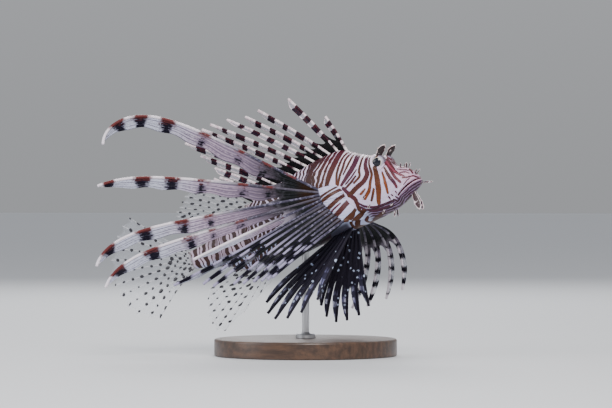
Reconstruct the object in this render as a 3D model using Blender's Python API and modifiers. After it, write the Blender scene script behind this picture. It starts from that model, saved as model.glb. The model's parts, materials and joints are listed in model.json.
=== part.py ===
"""A red lionfish, life size and still, held over a plain display stand.

The fish swims nose up, with its nose towards +X, its right side towards -Y and the underside of the
stand at z = 0. Sizes are in metres, and the tables of the body are in millimetres in the fish's own
frame: along is the way back from the snout, across is to the left, and height is square to both.
"""

import math

import bmesh
import bpy
import numpy as np

MM = 0.001
GAP = 0.3
TO_RIGHT, TO_LEFT = -1, 1

# The whole fish, in millimetres and degrees.
STANDARD_LENGTH = 180.0
NOSE_UP = math.radians(18)
SNOUT = np.array([86.0, 0.0, 122.0])

# The body: its top line, bottom line and half width against the way back from the snout.
TOP = [(0, 1.0), (2, 6.0), (5, 10.2), (10, 13.8), (14, 15.8), (17, 20.6), (24, 26.0), (33, 29.9),
       (40, 33.6), (47, 37.8), (54, 39.2), (67, 38.4), (88, 34.2), (100, 31.7), (125, 25.0),
       (141, 17.8), (155, 12.0), (168, 8.4), (180, 6.6)]
BOTTOM = [(0, -1.0), (2, -2.7), (5, -4.6), (10, -7.6), (17, -10.9), (24, -13.2), (33, -14.5),
          (47, -16.0), (67, -17.8), (88, -20.0), (100, -21.4), (120, -22.2), (138, -20.4),
          (155, -13.0), (168, -9.0), (180, -6.6)]
HALF_WIDTH = [(0, 1.8), (1.5, 4.2), (4, 6.4), (10, 9.6), (17, 12.4), (28, 14.8), (40, 16.6),
              (52, 17.2), (64, 16.8), (80, 15.6), (100, 13.4), (120, 10.6), (140, 7.4),
              (160, 4.6), (180, 3.0)]
WIDEST_AT = [(0, 0.5), (20, 0.42), (45, 0.42), (80, 0.46), (140, 0.5), (180, 0.5)]
ROUND_ABOVE = [(0, 2.0), (14, 2.3), (20, 3.6), (27, 3.4), (38, 2.3), (52, 1.8), (180, 1.9)]
ROUND_BELOW = [(0, 2.0), (6, 1.8), (20, 1.8), (34, 2.1), (180, 2.1)]

# The head: the eye, the line of the mouth, the nostrils and the edge of the gill cover.
EYE_AT = (23.0, 21.0)
EYE_RADIUS = 5.3
EYE_ACROSS = 9.4
MOUTH_LINE = [(0, 2.2), (3, 1.8), (6, 0.8), (12.6, -2.6), (18, -6.4)]
MOUTH_END = 16.0
MOUTH_GAPE = 0.7
MOUTH_DEPTH = 2.0
NOSTRIL_AT = (13.0, 11.0)
NOSTRIL_RADIUS = 0.8
CHEEK_RIDGE = ((13.0, 6.5), (44.0, 4.0))
GILL_EDGE = [(-1, 36), (-0.75, 42), (-0.3, 49), (0.1, 55), (0.45, 61), (0.8, 57), (1, 51)]
GILL_RISE = 1.1
GILL_REACH = 10.0
GILL_LIP = 0.2
HEAD_STARTS = 0.05
TAIL_STARTS = 126.0

# The relief of the head: how far each form stands out of the plain body, and how wide it spreads.
BROW_RISE = 1.9
BROW_SPREAD = 5.2
BROW_ABOVE_EYE = 1.0
CROWN_DIP = 0.8
CROWN_SPREAD = 5.0
LIP_RISE = 0.9
UPPER_LIP = (1.5, 1.3)
LOWER_LIP = (-1.7, 1.5)
CHEEK_RISE = 0.8
CHEEK_SPREAD = 1.8

# How finely the body is divided: rings along each length and sides round it.
HEAD_RINGS = 22
HEAD_CROWD = 1.5
TRUNK_RINGS = 13
TAIL_RINGS = 9
SIDES = 32

# Fin rays: how thick the rod of a ray and the membrane are, and how far rods are sunk in.
ROD = 1.3
MEMBRANE = 0.55
TIP = 0.35
SUNK = 2.6

# The stand.
BASE_RADIUS = 64.0
BASE_THICK = 12.0
BASE_EDGE = 1.5
POST_RADIUS = 2.5
FOOT_RADIUS = 7.0
FOOT_THICK = 3.0
POST_ALONG = 86.0
MERGED = 0.00005


def curve(knots, x):
    """The smooth line through the knots at x, which never swings past a knot."""
    xs, ys = np.array(knots, float).T
    steps = np.diff(xs)
    slopes = np.diff(ys) / steps
    both = slopes[:-1] * slopes[1:]
    total = np.where(both > 0, slopes[:-1] + slopes[1:], 1.0)
    inner = np.where(both > 0, 2 * both / total, 0.0)
    tangents = np.concatenate([slopes[:1], inner, slopes[-1:]])
    x = np.clip(np.asarray(x, float), xs[0], xs[-1])
    i = np.clip(np.searchsorted(xs, x, side="right") - 1, 0, len(steps) - 1)
    t = (x - xs[i]) / steps[i]
    rise = (2 * t**3 - 3 * t**2 + 1) * ys[i] + (3 * t**2 - 2 * t**3) * ys[i + 1]
    swing = (t**3 - 2 * t**2 + t) * tangents[i] + (t**3 - t**2) * tangents[i + 1]
    return rise + swing * steps[i]


def bell(distance, spread):
    return np.exp(-((distance / spread) ** 2))


def unit(way):
    return way / np.linalg.norm(way, axis=-1, keepdims=True)


def placed(points):
    """Points of the fish's own frame (along, across, height) in the frame of the model."""
    along, across, height = np.moveaxis(np.asarray(points, float), -1, 0)
    back = along * math.cos(NOSE_UP) + height * math.sin(NOSE_UP)
    up = height * math.cos(NOSE_UP) - along * math.sin(NOSE_UP)
    return np.stack([SNOUT[0] - back, SNOUT[1] + across, SNOUT[2] + up], axis=-1)


def detail(along, across, height, turn):
    """How far the skin of the head stands out of the plain body, in millimetres."""
    side = np.clip(np.abs(across) / 3.0, 0, 1)
    brow = np.hypot(along - EYE_AT[0], height - EYE_AT[1] - BROW_ABOVE_EYE)
    rise = BROW_RISE * bell(brow, BROW_SPREAD) * side
    crown = np.hypot(along - EYE_AT[0], across)
    rise -= CROWN_DIP * bell(crown, CROWN_SPREAD) * (height > EYE_AT[1])
    above_mouth = height - curve(MOUTH_LINE, along)
    mouth = np.clip((MOUTH_END + 2 - along) / 4, 0, 1) * np.clip(along / 1.5, 0, 1)
    for middle, spread in (UPPER_LIP, LOWER_LIP):
        rise += mouth * LIP_RISE * bell(above_mouth - middle, spread)
    start, end = np.array(CHEEK_RIDGE)
    share = np.clip((along - start[0]) / (end[0] - start[0]), 0, 1)
    off_ridge = height - start[1] - share * (end[1] - start[1])
    fade = np.clip((along - start[0]) / 4, 0, 1) * np.clip((end[0] - along) / 4, 0, 1)
    rise += CHEEK_RISE * bell(off_ridge, CHEEK_SPREAD) * fade
    edge = gill_edge(turn)
    cover = np.clip(1 - (edge - along) / GILL_REACH, 0, 1) * (along <= edge + GILL_LIP)
    rise += GILL_RISE * cover**2 * np.clip(1.2 - np.abs(np.sin(turn)), 0, 1)
    return rise


def gill_edge(turn):
    """How far back the head reaches, against the angle round the body."""
    return curve(GILL_EDGE, np.sin(turn))


def body_points(along, turn, grow=0.0):
    """Points of the skin: turn 0 is the left side, a quarter turn the top line."""
    top, bottom = curve(TOP, along), curve(BOTTOM, along)
    middle = bottom + curve(WIDEST_AT, along) * (top - bottom)
    sine, cosine = np.sin(turn), np.cos(turn)
    power = 2 / np.where(sine > 0, curve(ROUND_ABOVE, along), curve(ROUND_BELOW, along))
    reach = np.where(sine > 0, top - middle, middle - bottom)
    across = curve(HALF_WIDTH, along) * np.sign(cosine) * np.abs(cosine) ** power
    lift = reach * np.sign(sine) * np.abs(sine) ** power
    out = np.hypot(across, lift)
    rise = detail(along, across, middle + lift, turn) + grow
    scale = 1 + rise / np.maximum(out, 1.0)
    return np.stack([along, across * scale, middle + lift * scale], axis=-1)


def skin_at(along, height, side):
    """The skin's point at this place on one side, found by turning round the body."""
    turns = np.linspace(-math.pi / 2, math.pi / 2, 721)
    ring = body_points(np.full(turns.shape, float(along)), turns)
    point = ring[np.argmin(np.abs(ring[:, 2] - height))]
    return np.array([point[0], side * point[1], point[2]])


def material(name, colour, roughness, metallic=0.0):
    made = bpy.data.materials.new(name)
    made.use_nodes = True
    shader = made.node_tree.nodes["Principled BSDF"]
    shader.inputs["Base Color"].default_value = (*colour, 1.0)
    shader.inputs["Roughness"].default_value = roughness
    shader.inputs["Metallic"].default_value = metallic
    return made


def mesh_object(name, points, faces, finish, group):
    """An object of this mesh, given in millimetres of the model's frame, linked to a collection."""
    mesh = bpy.data.meshes.new(name)
    mesh.from_pydata((np.asarray(points) * MM).tolist(), [], [tuple(f) for f in faces])
    work = bmesh.new()
    work.from_mesh(mesh)
    bmesh.ops.recalc_face_normals(work, faces=work.faces)
    work.to_mesh(mesh)
    work.free()
    if finish:
        mesh.materials.append(finish)
    made = bpy.data.objects.new(name, mesh)
    group.objects.link(made)
    return made


def as_helper(made):
    made.hide_render = True
    made.display_type = "WIRE"
    return made


def at(along):
    """A straight edge of a length of the body: the same place all round."""
    return lambda turn: along + 0 * turn


def body_length(name, starts, ends, finish, group, rings, sides=SIDES, grow=0.0, crowd=1.0):
    """A closed length of the body between two edges, each given as a function of the turn."""
    turns = np.linspace(0, 2 * math.pi, sides, endpoint=False)
    first, last = starts(turns), ends(turns)
    shares = np.linspace(0, 1, rings) ** crowd
    along = first + shares[:, None] * (last - first)
    points = body_points(along, np.broadcast_to(turns, along.shape), grow)
    centres = points[[0, -1]].mean(axis=1)
    flat = placed(np.vstack([points.reshape(-1, 3), centres]))
    faces = []
    for ring in range(rings - 1):
        for side in range(sides):
            a, b = ring * sides + side, ring * sides + (side + 1) % sides
            faces += [(a, b, b + sides), (a, b + sides, a + sides)]
    front, back = rings * sides, rings * sides + 1
    last_ring = (rings - 1) * sides
    for side in range(sides):
        after = (side + 1) % sides
        faces += [(front, after, side), (back, last_ring + side, last_ring + after)]
    return mesh_object(name, flat, faces, finish, group)


def thick_sheet(name, points, thickness, strips, finish, group):
    """A closed sheet over a grid of points (column, row), with the same triangles on both faces.

    strips gives, for each pair of neighbouring columns, how many rows of the grid join them.
    """
    columns, rows = points.shape[:2]
    index = np.arange(columns * rows).reshape(columns, rows)
    triangles = []
    for column in range(columns - 1):
        for row in range(strips[column]):
            a, b = index[column, row], index[column + 1, row]
            c, d = index[column + 1, row + 1], index[column, row + 1]
            triangles += [(a, b, c), (a, c, d)]
    triangles = np.array(triangles)
    flat = points.reshape(-1, 3)
    corners = flat[triangles]
    tilts = np.cross(corners[:, 1] - corners[:, 0], corners[:, 2] - corners[:, 0])
    tilts /= np.maximum(np.linalg.norm(tilts, axis=1, keepdims=True), 1e-9)
    normals = np.zeros_like(flat)
    for corner in range(3):
        np.add.at(normals, triangles[:, corner], tilts)
    normals /= np.maximum(np.linalg.norm(normals, axis=1, keepdims=True), 1e-9)
    half = normals * thickness.reshape(-1, 1) / 2
    count = len(flat)
    used = {}
    for a, b, c in triangles:
        for edge in ((a, b), (b, c), (c, a)):
            used[edge] = used.get(edge, 0) + 1
    faces = [tuple(t) for t in triangles] + [tuple(t[::-1] + count) for t in triangles]
    for a, b in used:
        if (b, a) not in used:
            faces += [(b, a, a + count), (b, a + count, b + count)]
    kept = np.unique(triangles)
    renamed = {old: new for new, old in enumerate(np.concatenate([kept, kept + count]))}
    both = np.vstack([flat + half, flat - half])[np.concatenate([kept, kept + count])]
    faces = [tuple(renamed[i] for i in face) for face in faces]
    return mesh_object(name, both, faces, finish, group)


def heading(rise, out, side):
    """The way of a ray that leans back: rise above the level, out of the middle plane."""
    return np.stack([-np.cos(rise) * np.cos(out), side * np.sin(out), np.sin(rise) * np.cos(out)], -1)


def walked(root, headings, length):
    """Points along a path that starts at root and follows the headings, one for each step."""
    steps = unit(headings) * length / len(headings)
    return np.vstack([root, root + np.cumsum(steps, axis=0)])


def bent_ray(root, length, rise, out, side, rows, droop=0.0, late=1.0, splay=0.0):
    """A ray that starts at an angle and turns by droop and splay, late in its length if asked."""
    share = (np.arange(rows - 1) + 0.5) / (rows - 1)
    lift = np.radians(rise + droop * share**late)
    away = np.radians(out + splay * share)
    return walked(root, heading(lift, away, side), length)


def fin(name, rays, lead, vane, web, finish, group, rod=ROD, fit=0.62):
    """A fin of several rays as one closed body: each ray is a rod with a vane behind it.

    lead and vane give the widths before and behind the rod against the share of the ray, and web
    how many rows of each ray the membrane joins to the next.
    """
    rays = np.array(rays)
    count, rows = rays.shape[:2]
    share = np.linspace(0, 1, rows)
    tangents = unit(np.gradient(rays, axis=1))
    towards = np.diff(rays, axis=0)
    towards = np.concatenate([towards, towards[-1:]])
    towards -= (towards * tangents).sum(axis=2, keepdims=True) * tangents
    room = np.linalg.norm(towards, axis=2)
    towards /= np.maximum(room[:, :, None], 1e-6)
    taper = 1 - share**2 * 0.82
    grid, thick, strips = [], [], []
    for number in range(count):
        ahead = np.minimum(lead(share), 0.30 * room[max(number - 1, 0)])
        behind = np.minimum(vane(share, number), fit * room[number])
        centre, way = rays[number], towards[number]
        grid += [centre - way * ahead[:, None], centre, centre + way * behind[:, None]]
        edge = MEMBRANE - (MEMBRANE - TIP) * share**6
        thick += [edge, np.maximum(rod * taper, edge), edge]
        strips += [rows - 1, rows - 1, min(web[number], rows - 1) if number < count - 1 else 0]
    return thick_sheet(name, np.array(grid), np.array(thick), strips[:-1], finish, group)


# How wide a skin flap is along its length, and the width from which it gets a sixth side.
LEAF_SWELL = [(0, 0.62), (0.3, 0.8), (0.6, 1.0), (0.85, 0.72), (1, 0.12)]
WIDE_LEAF = 3.0


def leaf(name, root, way, facing, length, width, thickness, bend, finish, group, rows):
    """A tapered skin flap: a lens in section, widest past its middle, that bends towards facing."""
    way, facing = unit(np.array(way, float)), np.array(facing, float)
    facing = unit(facing - way * (facing @ way))
    across = np.cross(way, facing)
    share = np.linspace(0, 1, rows)
    swing = np.radians(bend) * share
    swing = (swing[1:] + swing[:-1]) / 2
    ways = np.cos(swing)[:, None] * way + np.sin(swing)[:, None] * facing
    path = walked(np.array(root, float), ways, length)
    swell = curve(LEAF_SWELL, share)
    sides = 5 if width < WIDE_LEAF else 6
    turns = np.arange(sides) * 2 * math.pi / sides
    rings = []
    for row in range(rows):
        angle = math.radians(bend) * share[row]
        normal = math.cos(angle) * facing - math.sin(angle) * way
        half_width = width / 2 * swell[row]
        half_thick = thickness / 2 * (1 - 0.6 * share[row])
        ring = np.cos(turns)[:, None] * across * half_width
        ring += np.sin(turns)[:, None] * normal * half_thick
        rings.append(path[row] + ring)
    flat = np.vstack(rings)
    faces = []
    for row in range(rows - 1):
        for side in range(sides):
            a, b = row * sides + side, row * sides + (side + 1) % sides
            faces += [(a, b, b + sides), (a, b + sides, a + sides)]
    faces += [tuple(range(sides)), tuple(range((rows - 1) * sides, rows * sides))]
    return mesh_object(name, flat, faces, finish, group)


def ball(name, centre, radius, finish, group, segments=16, rings=12):
    mesh = bpy.data.meshes.new(name)
    work = bmesh.new()
    bmesh.ops.create_uvsphere(work, u_segments=segments, v_segments=rings, radius=radius * MM)
    bmesh.ops.translate(work, verts=work.verts, vec=(np.asarray(centre) * MM).tolist())
    work.to_mesh(mesh)
    work.free()
    if finish:
        mesh.materials.append(finish)
    mesh.shade_smooth()
    made = bpy.data.objects.new(name, mesh)
    group.objects.link(made)
    return made


def settle(made):
    """Applies an object's modifiers and keeps only its largest closed surface."""
    graph = bpy.context.evaluated_depsgraph_get()
    mesh = bpy.data.meshes.new_from_object(made.evaluated_get(graph))
    made.modifiers.clear()
    made.data = mesh
    work = bmesh.new()
    work.from_mesh(mesh)
    bmesh.ops.triangulate(work, faces=work.faces)
    islands, seen = [], set()
    for start in work.verts:
        if start in seen:
            continue
        island, waiting = [], [start]
        seen.add(start)
        while waiting:
            vert = waiting.pop()
            island.append(vert)
            for edge in vert.link_edges:
                other = edge.other_vert(vert)
                if other not in seen:
                    seen.add(other)
                    waiting.append(other)
        islands.append(island)
    islands.sort(key=len)
    for island in islands[:-1]:
        bmesh.ops.delete(work, geom=island, context="VERTS")
    work.to_mesh(mesh)
    work.free()
    return made


def cut(made, cutters):
    for cutter in cutters:
        step = made.modifiers.new("cut_by_" + cutter.name, "BOOLEAN")
        step.operation = "DIFFERENCE"
        step.object = cutter
    return settle(made)


def fuse(made, pieces):
    """Joins a collection of closed pieces to an object, and removes the pieces."""
    step = made.modifiers.new("fused", "BOOLEAN")
    step.operation = "UNION"
    step.operand_type = "COLLECTION"
    step.collection = pieces
    settle(made)
    for piece in list(pieces.objects):
        bpy.data.objects.remove(piece)
    bpy.data.collections.remove(pieces)
    return made


def collection(name):
    made = bpy.data.collections.new(name)
    bpy.context.scene.collection.children.link(made)
    return made


def mouth_cutter(group):
    """A thin strip that follows the mouth line round the snout, cut into the lips."""
    reach = np.linspace(MOUTH_END, 1.6, 9)
    outer, inner = [], []
    for side, order in ((TO_LEFT, reach), (TO_RIGHT, reach[::-1])):
        for along in order:
            skin = skin_at(along, float(curve(MOUTH_LINE, along)), side)
            at_snout = along <= 3
            away = unit(np.array([-1.0, side * 0.6, 0.0] if at_snout else [-0.25, side, 0.0]))
            outer.append(skin + away * 2.5)
            inner.append(skin - away * min(MOUTH_DEPTH, abs(skin[1]) * 0.6))
    rows = len(outer)
    grid = placed(np.array([outer, inner]))
    thick = np.full((2, rows), MOUTH_GAPE)
    return as_helper(thick_sheet("mouth_cutter", grid, thick, [rows - 1], None, group))


# The small skin flaps of the head: where each grows, the way it points, its length and its width.
TOP_FLAPS = [((7.0, 2.6, 11.8), (0.1, 0.3, 1.0), 4.2, 1.4),
             ((2.4, 2.2, 6.0), (0.4, 0.3, 1.0), 4.0, 1.1),
             ((11.0, 4.0, 13.2), (0.2, 0.2, 1.0), 3.6, 1.3),
             ((0.9, 1.7, -0.8), (1.0, 0.15, 0.1), 7.8, 1.3),
             ((7.9, 1.8, -4.9), (0.44, 0.06, -1.0), 13.9, 4.6),
             ((23.6, 2.4, -12.0), (0, 0.15, -1.0), 6.2, 1.6)]
CHEEK_FLAPS = [((36.0, -5.0), 4.2), ((22.0, -8.2), 3.6), ((29.0, -11.0), 4.0), ((37.0, 2.0), 3.6)]
CHEEK_FLAP_SIZE = (1.5, 0.9)
CHEEK_FLAP_SUNK = (0.9, -0.4)
FLAP_BEND = 10
CHEEK_FLAP_BEND = -20

# The feeler over each eye: its root, the way it points, and its length, width, thickness and bend.
FEELER_AT = (23.6, 9.6, 23.2)
FEELER_WAY = (0.34, 0.04, 0.94)
FEELER_FACING = (1.0, 0.9, 0.0)
FEELER_SIZE = (13.0, 5.0, 2.2)
FEELER_BEND = 35


def add_head(fish, cutters, skin, dark):
    head = body_length("head", at(HEAD_STARTS), gill_edge, skin, fish, HEAD_RINGS, crowd=HEAD_CROWD)
    sunk = collection("head_growths")
    for side in (TO_RIGHT, TO_LEFT):
        for (along, out, height), (ahead, aside, up), length, width in TOP_FLAPS:
            root = placed(np.array([along, side * out, height]))
            leaf("flap", root, (ahead, side * aside, up), (0.25, side, 0.1), length, width,
                 0.6 + 0.15 * width, FLAP_BEND, skin, sunk, 4 if width < WIDE_LEAF else 6)
        for (along, height), length in CHEEK_FLAPS:
            sinking = np.array([0, side * CHEEK_FLAP_SUNK[0], CHEEK_FLAP_SUNK[1]])
            root = placed(skin_at(along, height, side) - sinking)
            leaf("cheek_flap", root, (-0.35, side * 0.55, -0.8), (0, side, 0), length,
                 *CHEEK_FLAP_SIZE, CHEEK_FLAP_BEND, skin, sunk, 4)
    fuse(head, sunk)
    sockets = [mouth_cutter(cutters)]
    for side, name in ((TO_RIGHT, "right"), (TO_LEFT, "left")):
        centre = placed(np.array([EYE_AT[0], side * EYE_ACROSS, EYE_AT[1]]))
        socket = ball("socket_" + name, centre, EYE_RADIUS + GAP, None, cutters, 18, 12)
        sockets.append(as_helper(socket))
        ball("eye_" + name, centre, EYE_RADIUS, dark, fish)
        nostril = placed(skin_at(*NOSTRIL_AT, side))
        pit = ball("nostril_" + name, nostril, NOSTRIL_RADIUS, None, cutters, 8, 6)
        sockets.append(as_helper(pit))
    return cut(head, sockets)


def add_tentacles(fish, cutters, head_grown, finish):
    """The leaf-like feeler that stands over each eye."""
    for side, name in ((TO_RIGHT, "right"), (TO_LEFT, "left")):
        mirror = np.array([1, side, 1])
        root = placed(FEELER_AT * mirror)
        feeler = leaf("tentacle_" + name, root, FEELER_WAY * mirror, FEELER_FACING * mirror,
                      *FEELER_SIZE, FEELER_BEND, finish, fish, 8)
        cut(feeler, [head_grown] + [o for o in cutters.objects if o.name.startswith("socket")])


# The fleshy base of a pectoral fin, from its upper end to its lower one: where it leaves the shoulder,
# where its rays start, how thick it is at either, and how far its middle stands out.
SHOULDER_ALONG = [(-0.1, 57.5), (1.1, 45.5)]
SHOULDER_HEIGHT = [(-0.1, 16.5), (1.1, -14.0)]
SHOULDER_SUNK = 3.0
LOBE_ALONG = [(0, 67.0), (0.35, 66.5), (0.7, 62.5), (1, 56.7)]
LOBE_HEIGHT = [(0, 15.2), (0.5, 3.2), (1, -10.6)]
LOBE_ACROSS = [(0, 21.5), (1, 20.0)]
LOBE_THICK = (7.5, 2.2)
LOBE_BULGE = 1.6
LOBE_OVER = 0.04
LOBE_SPREAD = 0.06


def pectoral_roots(side, count):
    """The far edge of the fleshy base of a pectoral fin, where its rays start."""
    share = np.linspace(0, 1, count)
    across = side * curve(LOBE_ACROSS, share)
    return placed(np.stack([curve(LOBE_ALONG, share), across, curve(LOBE_HEIGHT, share)], -1))


def add_pectoral_base(name, side, finish, group, grow=0.0):
    """The fleshy base of a pectoral fin, a thick blade that grows out of the shoulder."""
    columns, rows = 9, 5
    share = np.linspace(-LOBE_OVER, 1 + LOBE_OVER, columns)
    shoulder = zip(curve(SHOULDER_ALONG, share), curve(SHOULDER_HEIGHT, share))
    inner = np.array([skin_at(along, height, side) for along, height in shoulder])
    inner = placed(inner - np.array([0, side * SHOULDER_SUNK, 0]))
    ends = pectoral_roots(side, columns)
    outer = ends + (ends - ends.mean(axis=0)) * LOBE_SPREAD
    reach = np.linspace(0, 1, rows)
    grid = inner[:, None] * (1 - reach[:, None]) + outer[:, None] * reach[:, None]
    grid[..., 1] += side * np.sin(reach * math.pi) * LOBE_BULGE
    rounded = np.clip(1.25 * np.sin(np.linspace(0.25, math.pi - 0.25, columns)), 0, 1)
    thick = rounded[:, None] * np.interp(reach, (0, 1), LOBE_THICK)[None, :] + 2 * grow
    if grow:
        beyond = grid[:, -1:] + unit(grid[:, -1:] - grid[:, -2:-1]) * grow
        grid = np.concatenate([grid, beyond], axis=1)
        thick = np.concatenate([thick, thick[:, -1:]], axis=1)
        grid[0] -= unit(grid[1] - grid[0]) * grow
        grid[-1] += unit(grid[-1] - grid[-2]) * grow
    strips = [grid.shape[1] - 1] * (columns - 1)
    return thick_sheet(name, grid, thick, strips, finish, group)


# The rays of the right pectoral fin, from the top one down: length, rise, droop and how late.
RIGHT_RAYS = [(170, 29, -134, 6.2), (154, 6.5, -33, 6), (167, -11.5, -76, 8), (165, -18, -66, 8),
              (98, -26, -4, 2), (118, -34, 4, 1), (101, -33, -12, 2), (97, -36, -11, 2),
              (86, -40, -12, 2), (82, -42, -12, 2), (77, -44.5, -10, 2), (74, -46, -10, 2),
              (72, -47, -8, 2), (70, -47, -6, 2)]
# The left one is spread: each ray's way at its root and at its tip (forward, out, up) for four rays.
LEFT_KEYS = (1, 7, 11, 14)
LEFT_ROOT_WAYS = [(-0.50, 0.86, 0.16), (-0.34, 0.92, -0.16), (0.05, 0.92, -0.36), (0.42, 0.88, -0.08)]
LEFT_TIP_WAYS = [(-0.66, 0.74, -0.14), (-0.50, 0.62, -0.60), (-0.45, 0.14, -0.88), (-0.20, 0.30, -0.93)]
LEFT_LENGTHS = [158, 150, 164, 160, 110, 112, 106, 102, 100, 99, 97, 93, 88, 82]
UPPER_RAYS = 5
# How far out of the middle plane the right rays stand, and how much more the lowest does.
RIGHT_OUT = 22
RIGHT_OUT_LOW = 20
SPLAY = 4
# The widths of the vanes: wide behind an upper ray and narrow behind a lower one.
PLUME = [(0, 1.2), (0.12, 3.2), (0.35, 9.0), (0.6, 7.6), (0.85, 6.0), (1, 0.4)]
LAST_PLUME = 0.42
NARROW_PLUME = [(0, 0.8), (0.3, 2.2), (0.75, 2.6), (1, 0.3)]
PLUME_ROD = 1.6


def right_pectoral_rays(rows):
    roots = pectoral_roots(TO_RIGHT, len(RIGHT_RAYS))
    rays = []
    for number, (length, rise, droop, late) in enumerate(RIGHT_RAYS):
        low = max(0, number - UPPER_RAYS) / (len(RIGHT_RAYS) - 1 - UPPER_RAYS)
        rays.append(bent_ray(roots[number], length + SUNK, rise, RIGHT_OUT + RIGHT_OUT_LOW * low,
                             TO_RIGHT, rows, droop=droop, late=late, splay=SPLAY))
    return sink(rays)


def left_pectoral_rays(rows):
    roots = pectoral_roots(TO_LEFT, len(LEFT_LENGTHS))
    share = ((np.arange(rows - 1) + 0.5) / (rows - 1))[:, None]
    rays = []
    for number, length in enumerate(LEFT_LENGTHS):
        ways = [np.array([curve(list(zip(LEFT_KEYS, column)), number + 1) for column in zip(*table)])
                for table in (LEFT_ROOT_WAYS, LEFT_TIP_WAYS)]
        turned = ways[0] * (1 - share) + ways[1] * share
        rays.append(walked(roots[number], turned, length + SUNK))
    return sink(rays)


def sink(rays):
    """Moves each ray back along its first step, so that its root is sunk in what it grows from."""
    for ray in rays:
        first = ray[1] - ray[0]
        ray -= first / np.linalg.norm(first) * SUNK
    return rays


def add_pectoral(name, side, rays_of, fish, cutters, body, skin, finish):
    base = add_pectoral_base("pectoral_base_" + name, side, skin, fish)
    cut(base, body)
    grown = as_helper(add_pectoral_base("base_grown_" + name, side, None, cutters, GAP))
    upper = rays_of(13)[:UPPER_RAYS]
    lower = rays_of(8)[UPPER_RAYS:]

    def plume(share, number):
        return curve(PLUME, share) * (1.0 if number < UPPER_RAYS - 1 else LAST_PLUME)

    def narrow(share, number):
        return curve(NARROW_PLUME, share)

    def lead(share):
        return 0.7 - 0.45 * share

    top = fin("pectoral_plumes_" + name, upper, lead, plume, [3, 3, 3, 4, 0], finish, fish, PLUME_ROD)
    web = [6] * (len(lower) - 1) + [0]
    low = fin("pectoral_rays_" + name, lower, lead, narrow, web, finish, fish)
    cut(top, [grown, *body])
    cut(low, [grown, *body])


# The spines of the back, from the front: how far back each stands, its length and its rise.
SPINE_ALONG = (46.0, 122.0)
SPINE_LEAN = 5.0
SPINE_LENGTHS = [29, 54, 61, 65, 75, 77, 80, 83, 78, 62, 46, 34, 35]
SPINE_RISES = [57, 44, 31, 27, 24, 23, 22, 20, 20, 20, 20, 22, 26]
SPINE_ROOT_LIFT = 4
SPINE_DROOP = -8
SPINE_VANE = [(0, 1.4), (0.2, 2.6), (0.6, 3.5), (0.88, 3.9), (1, 0.6)]
# The soft fins of the middle plane: where their rays stand, their lengths and their rises.
ROOT_DEPTH = 0.4
SOFT_DROOP = -6
SOFT_BACK_ALONG = (126.5, 150.5)
SOFT_BACK_COUNT = 11
SOFT_BACK_LENGTHS = [(0, 41), (0.3, 46), (0.55, 46), (0.8, 40), (1, 29)]
SOFT_BACK_RISES = [(0, 27), (0.5, 12), (1, 4)]
ANAL_ALONG = (118.0, 148.0)
ANAL_LENGTHS = [16, 27, 39, 56, 57, 53, 48, 42, 36, 28]
ANAL_RISES = [(0, -60), (0.4, -50), (1, -30)]
TAIL_RAYS = 12
TAIL_ROOT = (180.2, 5.4)
TAIL_LENGTHS = [(0, 55), (0.25, 61), (0.45, 65), (0.75, 60), (1, 46)]
TAIL_FAN = (36, -56)
TAIL_TILT = -4
# The pelvic fins: for each ray its rise, how far out of the middle plane it stands, and its length.
PELVIC_ALONG = (56.0, 64.0)
PELVIC_HEIGHT = -14.6
PELVIC_ACROSS = (5.6, 3.1)
PELVIC_RIGHT = ([-68, -63, -58, -53, -48, -43], [20, 20, 19, 18, 16, 14], [58, 70, 77, 81, 80, 74])
PELVIC_LEFT = ([-88, -82, -76, -71, -66, -62], [18, 18, 17, 16, 15, 14], [60, 67, 71, 73, 70, 62])
PELVIC_VANE = [(0, 0.5), (0.4, 1.6), (0.8, 3.0), (1, 0.4)]


def add_spiny_fin(fish, body, finish):
    spines = []
    places = np.linspace(*SPINE_ALONG, len(SPINE_LENGTHS))
    for number, (along, length, rise) in enumerate(zip(places, SPINE_LENGTHS, SPINE_RISES)):
        root = placed(np.array([along, 0.0, float(curve(TOP, along)) - ROOT_DEPTH]))
        lean = SPINE_LEAN * math.sin(number * 2.1)
        spines.append(bent_ray(root, length + SUNK, rise + SPINE_ROOT_LIFT, lean, TO_LEFT, 8,
                               droop=SPINE_DROOP))
    sink(spines)

    def vane(share, number):
        return curve(SPINE_VANE, share)

    made = fin("dorsal_spines", spines, lambda share: 0.6 - 0.3 * share, vane,
               [3] * (len(spines) - 1) + [0], finish, fish)
    return cut(made, body)


def add_soft_fin(name, places, lengths, rises, level, fish, body, finish):
    """A fin of the middle plane: rays from a row of roots, all joined by a membrane."""
    rays = []
    for along, length, rise in zip(places, lengths, rises):
        root = placed(np.array([along, 0.0, float(level(along))]))
        rays.append(bent_ray(root, length + SUNK, rise, 0.0, TO_LEFT, 7, droop=SOFT_DROOP))
    sink(rays)

    def edge(share, number=0):
        return 0.75 - 0.35 * share

    made = fin(name, rays, edge, edge, [6] * len(rays), finish, fish, rod=1.2, fit=0.4)
    return cut(made, body)


def add_tail_fin(fish, body, finish):
    rays, rows = [], 7
    for part in np.linspace(0, 1, TAIL_RAYS):
        root = placed(np.array([TAIL_ROOT[0], 0.0, TAIL_ROOT[1] * (1 - 2 * part)]))
        length = float(curve(TAIL_LENGTHS, part))
        rise = float(np.interp(part, (0, 1), TAIL_FAN))
        rays.append(bent_ray(root, length + SUNK, rise * 0.75 + TAIL_TILT, 0, TO_LEFT, rows,
                             droop=rise * 0.25))
    sink(rays)

    def edge(share, number=0):
        return 0.45 + 0.2 * share

    made = fin("caudal_fin", rays, edge, edge, [rows - 1] * TAIL_RAYS, finish, fish, rod=1.2, fit=0.36)
    return cut(made, body)


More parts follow.
